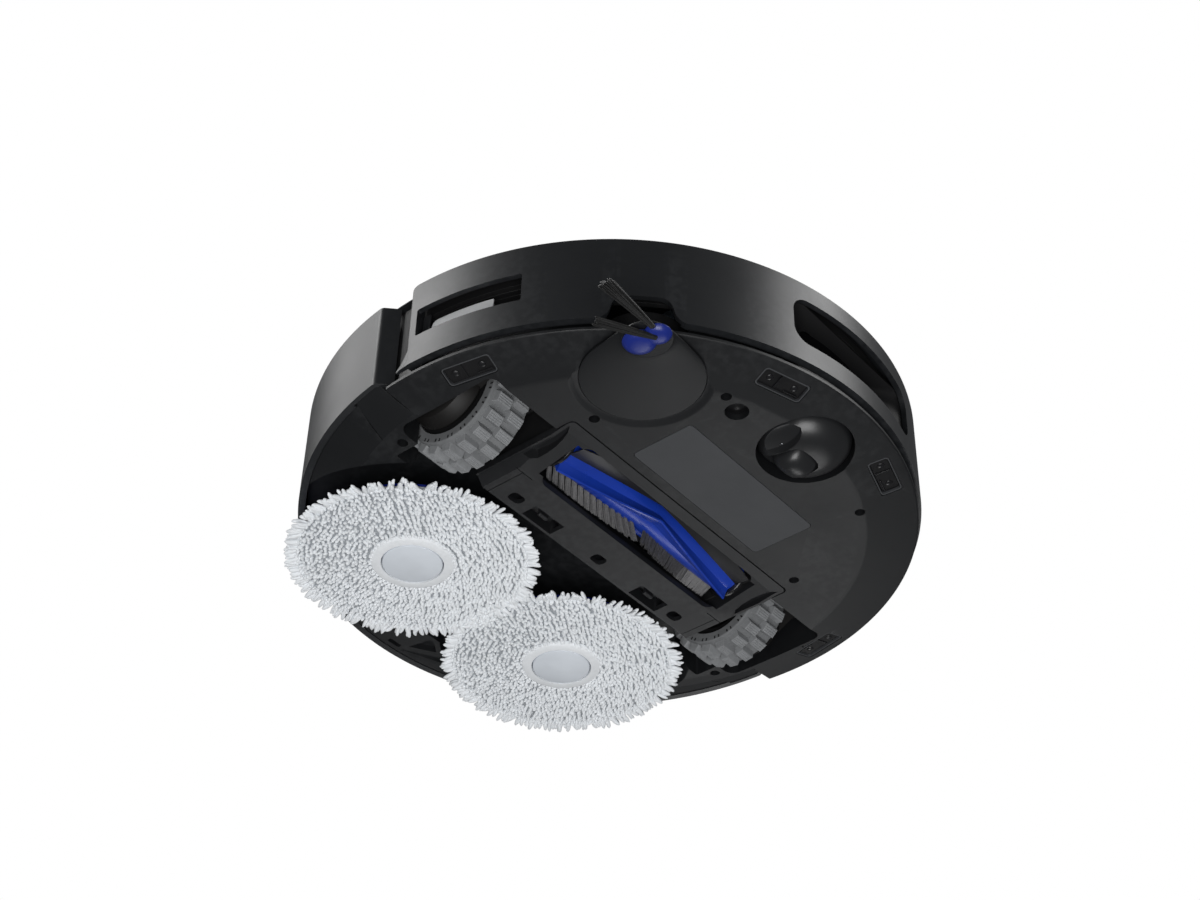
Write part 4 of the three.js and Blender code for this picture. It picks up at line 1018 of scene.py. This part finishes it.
def make_brush_hub():
    """Two round lobes with a slot for each tuft."""
    hub_x, hub_y = ARM_X + HUB_X, ARM_Y + HUB_Y
    lobes = []
    for dx, dy, size, lift in ((-2.0, 3.6, 8.9, 0), (-0.8, -7.4, 7.3, 0.3)):
        profile = ((0, 0), (0.45, 0.1), (0.72, 0.6), (0.9, 1.6), (1.0, 2.9), (0.97, 4.1 - lift),
            (0, 4.1 - lift))
        scaled = [(size * r, HUB_Z0 - 0.1 + lift + z) for r, z in profile]
        lobes.append(lathe(scaled, hub_x + dx, hub_y + dy, 48))
    slots = []
    for angle, x, y, z in ((184, -7.0, -9.7, 5.2), (150, -1.5, -6.9, 3.4)):
        turn = Matrix.Translation((hub_x + x, hub_y + y, 0)) @ Matrix.Rotation(radians(angle), 4, "Z")
        slots.append(moved(slab(-0.5, 9, -1.7, 1.7, 1.2, -2, z), turn))
    hub = carve(lobes[0], joins=[lobes[1]], cuts=slots)
    add("brush_hub", hub, "hub", ["side_brush_hub"], body="side_brush", edge=0.4)


def make_tufts():
    """A long and a short tuft of bristles that fan out from the hub."""
    chance = random.Random(8)
    hub = Vector((ARM_X + HUB_X, ARM_Y + HUB_Y, 0))
    tufts = (("long", (-7.5, -9.7, 4.0), (-48.4, -11.3, 3.8), 42, 4.0, 1.2),
        ("short", (-1.4, -7.1, 2.3), (-31.4, 9.9, 1.9), 44, 3.4, 1.0))
    for name, root, tip, count, wide, thick in tufts:
        root, tip = Vector(root), Vector(tip)
        along = (tip - root).normalized()
        across = Vector((-along.y, along.x, 0))
        shapes = []
        for _ in range(count):
            side, up = chance.uniform(-1, 1), chance.uniform(-1, 1)
            start = hub + root + across * side * 1.1 + Vector((0, 0, up * 0.6))
            end = hub + tip + across * side * wide + Vector((0, 0, up * thick))
            end -= along * chance.uniform(0, 3.0)
            bend = across * chance.uniform(-0.5, 0.5)
            shapes.append(strand(start, end, 0.4, bend=bend, sides=5, steps=4))
        made = together(*shapes)
        add(f"tuft_{name}", made, "tuft", [f"side_brush_tuft_{name}"], body="side_brush", crease=60)


# ---------- wheels ----------
LUGS = 20


def make_wheels():
    for side_name, side in SIDES:
        x0, x1 = side * (WHEEL_X - WHEEL_WIDTH / 2), side * (WHEEL_X + WHEEL_WIDTH / 2)
        carcass = lathe_x([(25.3, x0), (30.6, x0), (31.3, x0 + side * 0.7), (31.5, x0 + side * 3),
            (31.5, x1 - side * 3), (31.3, x1 - side * 0.7), (30.6, x1), (25.3, x1)], WHEEL_Y, WHEEL_Z, 96)
        lugs = []
        for row, (inner, outer) in enumerate(((2.6, 13.7), (14.3, 25.4))):
            for i in range(LUGS):
                turn = tau * (i + 0.5 * row) / LUGS
                lugs.append(lug(x0 + side * inner, x0 + side * outer, turn))
        marks = []
        for i in range(LUGS):
            for x in (x0, x1):
                turn = tau * i / LUGS
                marks += [slot_shade_mark(x, turn + offset) for offset in (-0.05, 0.05)]
        body = f"wheel_{side_name}"
        tread, slot_shades = together(*lugs), together(*marks)
        # The carcass between the lugs gets the darker grey: painted shade in the tread's valleys.
        add(f"tyre_carcass_{side_name}", carcass, "tyre", body=body, paint=valley_shade_paint, edge=0.25)
        add(f"tyre_lugs_{side_name}", tread, "tyre", [f"wheel_tyre_{side_name}"], body=body, edge=0.25)
        # The dark patches are painted shade standing in for slots in the side wall.
        add(f"tyre_slot_shade_{side_name}", slot_shades, "tyre", body=body, paint=inner_and_slot_shade_paint, crease=40)
        make_wheel_cover(side_name, side)


def on_wheel(x, turn, r, ahead):
    """A point r out from the wheel's axis at a turn, and so far ahead of it."""
    c, s = cos(turn), sin(turn)
    return (x, WHEEL_Y + r * c - ahead * s, WHEEL_Z + r * s + ahead * c)


def slot_shade_mark(x, turn):
    """A flat dark patch in the tyre's side wall: painted shade that stands in for a small slot."""
    corners = ((28.6, -0.45), (30.5, -0.45), (30.5, 0.45), (28.6, 0.45))
    return loft([[on_wheel(x + sunk, turn, r, w) for r, w in corners] for sunk in (-0.12, 0.12)])


def lug(xa, xb, turn):
    """A block of the tread with sloping sides and four fine ribs on its face."""
    top = WHEEL_R - 0.35
    inset = 0.5 * (1 if xb > xa else -1)
    levels = []
    for x0, x1, r, half in ((xa, xb, 31.2, 3.5), (xa + inset, xb - inset, top, 2.8)):
        corners = ((x0, -half), (x1, -half), (x1, half), (x0, half))
        levels.append([on_wheel(x, turn, r, w) for x, w in corners])
    parts = [loft(levels)]
    for k in range(4):
        w = -2.1 + 1.4 * k
        root, face = top - 0.2, top + 0.35
        section = ((root, w - 0.42), (face, w - 0.32), (face, w + 0.32), (root, w + 0.42))
        parts.append(loft([[on_wheel(x, turn, r, across) for r, across in section]
            for x in (xa + inset * 2, xb - inset * 2)]))
    return together(*parts)


def make_wheel_cover(side_name, side):
    """The rounded gear cover beside the wheel, on the wheel's own arm."""
    start = WHEEL_X + WHEEL_WIDTH / 2 + 1.2
    profile = [(0, start), (23.2, start), (24.0, start + 1.2), (23.6, start + 5), (21.5, start + 9.5),
        (17, start + 12.6), (9, start + 13.9), (0, start + 14)]
    drum = lathe_x([(r, side * x) for r, x in profile], WHEEL_Y, WHEEL_Z, 72)
    belt = belt_outline((-33, 42, 6.5), (WHEEL_Y, WHEEL_Z, 18))
    plate = prism_x(belt, side * start, side * (start + 11))
    axle = cylinder_x(side * (WHEEL_X - 11.5), side * (start + 0.5), WHEEL_Y, WHEEL_Z, 3)
    pivot = cylinder_x(side * (start - 1), side * (start + 15), -33, 42, 2.9)
    made = carve(drum, joins=[plate, axle], cuts=[pivot])
    arm = f"wheel_arm_{side_name}"
    add(f"gear_cover_{side_name}", made, "inner", [arm], body=arm, paint=gear_paint, edge=0.5)


def belt_outline(first, second):
    """The outline of a belt round two circles, each (y, z, radius)."""
    (y1, z1, r1), (y2, z2, r2) = first, second
    heading = degrees(atan2(z2 - z1, y2 - y1))
    spread = degrees(acos((r1 - r2) / hypot(y2 - y1, z2 - z1)))
    first_side = arc(y1, z1, r1, heading + spread, heading + 360 - spread)
    return first_side + arc(y2, z2, r2, heading - spread, heading + spread)


# ---------- caster ----------
def make_caster():
    """A satin dome with a scoop in its right side, open behind round its barrel wheel."""
    r = CASTER_R - 0.8
    dome = lathe([(0, 4.6), (7, 4.7), (12, 5.2), (16, 6.3), (19.8, 8.3), (22.8, 11.0), (24.8, 14.2),
        (r, 18), (r, 26), (0, 26)], 0, CASTER_Y, 128)
    wheel_y = CASTER_Y + CASTER_TRAIL
    half = CASTER_WIDTH / 2 + 1
    barrel = [(0, -half), (5.6, -half), (8.9, -half * 0.88), (10.7, -half * 0.62), (11.35, -half * 0.3),
        (CASTER_WHEEL_R, 0), (11.35, half * 0.3), (10.7, half * 0.62), (8.9, half * 0.88), (5.6, half),
        (0, half)]
    space = lathe_x([(r + 1.0, x * 1.1) if r else (0, x * 1.1) for r, x in barrel], wheel_y, CASTER_WHEEL_R,
        64)
    open_side = prism_x([(wheel_y + 1, -1), (wheel_y + 34, -1), (wheel_y + 34, 19), (wheel_y + 1, 19)],
        -half - 1.0, half + 1.0)
    scoop = lathe([(0, 0), (8, 1.2), (10.5, 4.4), (11, 8), (10, 11.6), (6, 14.2), (0, 15)], 0, 0, 64)
    stretch = Matrix.Diagonal((1.1, 1.75, 0.95, 1))
    scoop = moved(scoop, Matrix.Translation((-24, CASTER_Y + 5, -1.5)) @ stretch)
    made = carve(dome, cuts=[space, open_side, scoop])
    add("caster_fork", made, "gloss", ["caster_dome"], body="caster_swivel", paint=satin_paint, edge=0.7,
        segments=3)
    wheel = lathe_x(barrel, wheel_y, CASTER_WHEEL_R, 72)
    add("caster_roller", wheel, "gloss", ["caster_wheel"], body="caster_wheel", paint=satin_paint,
        crease=60)


# ---------- mops ----------
def capsules(rng, roots, tips, radius, sides=7):
    """Soft fingers with round ends from roots to tips, each bent a little, as one shape."""
    levels = ((0.0, 0.75), (0.3, 1.0), (0.65, 1.05), (0.88, 0.8), (0.985, 0.38))
    count = len(roots)
    along = tips - roots
    length = np.linalg.norm(along, axis=1, keepdims=True)
    along = along / length
    other = np.where(np.abs(along[:, 2:3]) > 0.8, np.array([[1.0, 0, 0]]), np.array([[0, 0, 1.0]]))
    side = np.cross(along, other)
    side /= np.linalg.norm(side, axis=1, keepdims=True)
    up = np.cross(along, side)
    bend = side * rng.normal(0, 0.45, (count, 1)) + up * rng.normal(0, 0.3, (count, 1))
    size = radius * rng.uniform(0.85, 1.12, (count, 1))
    rings = []
    for t, wide in levels:
        centre = roots + along * length * t + bend * (4 * t * (1 - t))
        for k in range(sides):
            turn = tau * k / sides
            rings.append(centre + (side * cos(turn) + up * sin(turn)) * size * wide)
    rings.append(tips + along * 0.15)
    points = np.stack(rings, axis=1)
    per = points.shape[1]
    last = (len(levels) - 1) * sides
    around = [(k, (k + 1) % sides) for k in range(sides)]
    finger = [(low + a, low + b, low + b + sides, low + a + sides)
        for low in range(0, last, sides) for a, b in around]
    finger += [(last + a, last + b, per - 1) for a, b in around]
    finger.append(tuple(reversed(range(sides))))
    faces = [tuple(i * per + corner for corner in face) for i in range(count) for face in finger]
    return points.reshape(-1, 3), faces


def chenille(seed, x, y):
    """Rings of short microfibre stubs under a disc, and a fringe that stands out round its rim."""
    rng = np.random.default_rng(seed)
    roots, tips = [], []
    for row, r in enumerate(spaced(24.2, 65.0, 2.5)):
        count = round(tau * r / 2.7)
        for i in range(count):
            turn = tau * (i + 0.5 * (row % 2) + rng.uniform(-0.2, 0.2)) / count
            radius = r + rng.uniform(-0.35, 0.35)
            c, s = cos(turn), sin(turn)
            lean = rng.uniform(1.0, 2.1)
            way = turn + rng.normal(1.1, 0.55)
            roots.append((x + radius * c, y + radius * s, 4.2))
            tips.append((x + radius * c + lean * cos(way), y + radius * s + lean * sin(way),
                rng.uniform(0.6, 1.5)))
    small = capsules(rng, np.array(roots), np.array(tips), 1.04)
    roots, tips = [], []
    fringe = ((64.0, 4.2, 1.0, 2.6, 8.8, 3.3), (64.8, 4.4, 2.6, 4.2, 9.0, 3.6))
    for r, z, drop_low, drop_high, reach, pitch in fringe:
        count = round(tau * r / pitch)
        for i in range(count):
            turn = tau * (i + rng.uniform(-0.2, 0.2)) / count
            out = r + reach + rng.uniform(-1.8, 0.9)
            roots.append((x + r * cos(turn), y + r * sin(turn), z))
            swing = turn + rng.normal(0, 0.03)
            tips.append((x + out * cos(swing), y + out * sin(swing), rng.uniform(drop_low, drop_high)))
    large = capsules(rng, np.array(roots), np.array(tips), 1.3)
    return [(points.tolist(), faces) for points, faces in (small, large)]


def make_mops():
    for index, (side_name, side) in enumerate(SIDES):
        x, y = side * MOP_X, MOP_Y
        body = f"mop_{side_name}"
        backing = lathe([(24.6, 3.4), (63.5, 3.4), (65, 4.4), (65.2, PAD_TOP), (24.6, PAD_TOP)], x, y, 128)
        collar = lathe([(MOP_CAP_R + 0.7, 0.9), (22.6, 0.9), (24, 1.8), (24.4, 3.4), (24.4, PAD_TOP),
            (MOP_CAP_R + 0.7, PAD_TOP)], x, y, 128)
        # The backing's darker grey is painted shade between the fibres.
        add(f"mop_backing_painted_shade_{side_name}", backing, "pad", body=body, paint=backing_shade_paint, crease=40)
        fibres = together(collar, *chenille(11 + index, x, y))
        node = f"mop_pad_{side_name}"
        pad = add(f"mop_pad_fibres_{side_name}", fibres, "pad", [node], body=body, crease=75)
        plate = lathe([(0, 6), (MOP_PLATE_R - 0.8, 6), (MOP_PLATE_R, 6.6), (MOP_PLATE_R, 8),
            (MOP_PLATE_R - 0.8, 8.7), (50, 9.2), (20, 13.8), (5, 13.8), (5, 19), (0, 19)], x, y, 128)
        add(f"mop_disc_{side_name}", plate, "plate", [f"mop_plate_{side_name}"], body=body, crease=28)
        cap = lathe([(0, 0.7), (MOP_CAP_R - 1.0, 0.7), (MOP_CAP_R - 0.3, 1.0), (MOP_CAP_R, 1.7),
            (MOP_CAP_R, PAD_TOP), (0, PAD_TOP)], x, y, 96)
        add(f"mop_button_{side_name}", cap, "cap", [f"mop_cap_{side_name}"], body=body, crease=28)


# ---------- top ----------
def make_top():
    edge = ((COVER_R - 0.4, RIM_Z + 0.4), (COVER_R, RIM_Z + 0.9), (COVER_R - 0.4, RIM_Z + 1.7),
        (COVER_R - 1.6, DECK_Z - 0.15), (COVER_R - 3.4, DECK_Z))
    disc = loft([body_ring(r, z) for r, z in edge])
    lid_hole = slab(-100, 100, -140, 8, 12, 70, 95)
    holes = [cylinder(x, BUTTON_Y, 70, 95, 6.9, 48) for _, x in BUTTONS]
    groove = lathe([(TURRET_R + 3.0, DECK_Z - 0.7), (TURRET_R + 3.6, DECK_Z - 0.7),
        (TURRET_R + 3.6, DECK_Z + 2), (TURRET_R + 3.0, DECK_Z + 2)], 0, TURRET_Y, 96)
    add("deck", carve(disc, cuts=[lid_hole, *holes, groove]), "body", ["top_cover"])
    panel = slab(-99.5, 99.5, -139.5, 7.5, 11.5, RIM_Z + 1, DECK_Z + 0.2)
    grip = lathe([(0, DECK_Z - 2), (12, DECK_Z - 2), (16, DECK_Z + 2), (0, DECK_Z + 2)], 0, -144, 64)
    add("lid_panel", carve(panel, cuts=[grip]), "body", ["top_lid"], body="lid", edge=0.6, segments=3)
    for name, x in BUTTONS:
        cap = lathe([(0, RIM_Z + 1), (6.5, RIM_Z + 1), (6.5, DECK_Z), (5.9, DECK_Z + 0.45),
            (4.6, DECK_Z + 0.5), (4.2, DECK_Z + 0.15), (0, DECK_Z + 0.1)], x, BUTTON_Y, 64)
        add(f"{name}_cap", cap, "button", [name], body=name, crease=30)


def make_turret():
    base = lathe([(0, DECK_Z + GAP), (TURRET_R, DECK_Z + GAP), (TURRET_R - 0.2, DECK_Z + 1.6),
        (TURRET_R - 1.2, DECK_Z + 3), (TURRET_R - 2.4, DECK_Z + 3.5), (0, DECK_Z + 3.5)], 0, TURRET_Y, 128)
    top = TURRET_TOP
    cap = lathe([(0, top - 4.5), (TURRET_R - 2.1, top - 4.5), (TURRET_R - 1.5, top - 3.9),
        (TURRET_R - 1.5, top - 2.2), (TURRET_R - 2.2, top - 1.0), (TURRET_R - 4.0, top - 0.3),
        (TURRET_R - 7, top), (0, top)], 0, TURRET_Y, 128)
    posts = [cylinder(*polar(angle, TURRET_R - 4.5, 0, TURRET_Y)[:2], DECK_Z + 2, top - 3, 2.5, 32)
        for angle in (60, 180, 300)]
    ring = lathe([(30, top - 0.35), (30.5, top - 0.35), (30.5, top + 1), (30, top + 1)], 0, TURRET_Y, 128)
    add("turret", carve(base, joins=[cap, *posts], cuts=[ring]), "body", ["turret_cover"], edge=0.35)
    drum = lathe([(0, DECK_Z + 4), (32.4, DECK_Z + 4), (33.6, DECK_Z + 4.8), (34, DECK_Z + 6),
        (34, top - 6.5), (33.4, top - 5.6), (32, top - 5.2), (0, top - 5.2)], 0, TURRET_Y, 96)
    slot = slab(-20, 20, TURRET_Y - 40, TURRET_Y - 28, 1, DECK_Z + 6.5, top - 7)
    add("laser_head", carve(drum, cuts=[slot]), "gloss", ["lidar_head"], body="lidar")


make_base()
make_rear_panels()
make_rear_shell()
make_screws()
make_carpet_sensor()
make_cliff_sensors()
make_bumper()
make_bezel()
make_inner_frame()
make_side_sensor()
make_under_clips()
make_brush_cover()
make_latches()
make_main_brush()
make_brush_bristles()
make_swing_arm()
make_brush_hub()
make_tufts()
make_wheels()
make_caster()
make_mops()
make_top()
make_turret()


# ---------- CAD nodes that are shown as they are ----------
def finish_cad_nodes():
    """Each CAD node that still shows gets its slot's paint and softened edges."""
    slots = {part["node"]: part["material_slot"] for part in frame["record"]["subparts"]}
    for name, node in frame["nodes"].items():
        if node.hide_render:
            continue
        node.data.materials.clear()
        node.data.materials.append(SLOT_PAINTS[slots[name]])
        weld = node.modifiers.new("weld", "WELD")
        weld.merge_threshold = 1e-5
        soften(node, 0.3)


finish_cad_nodes()
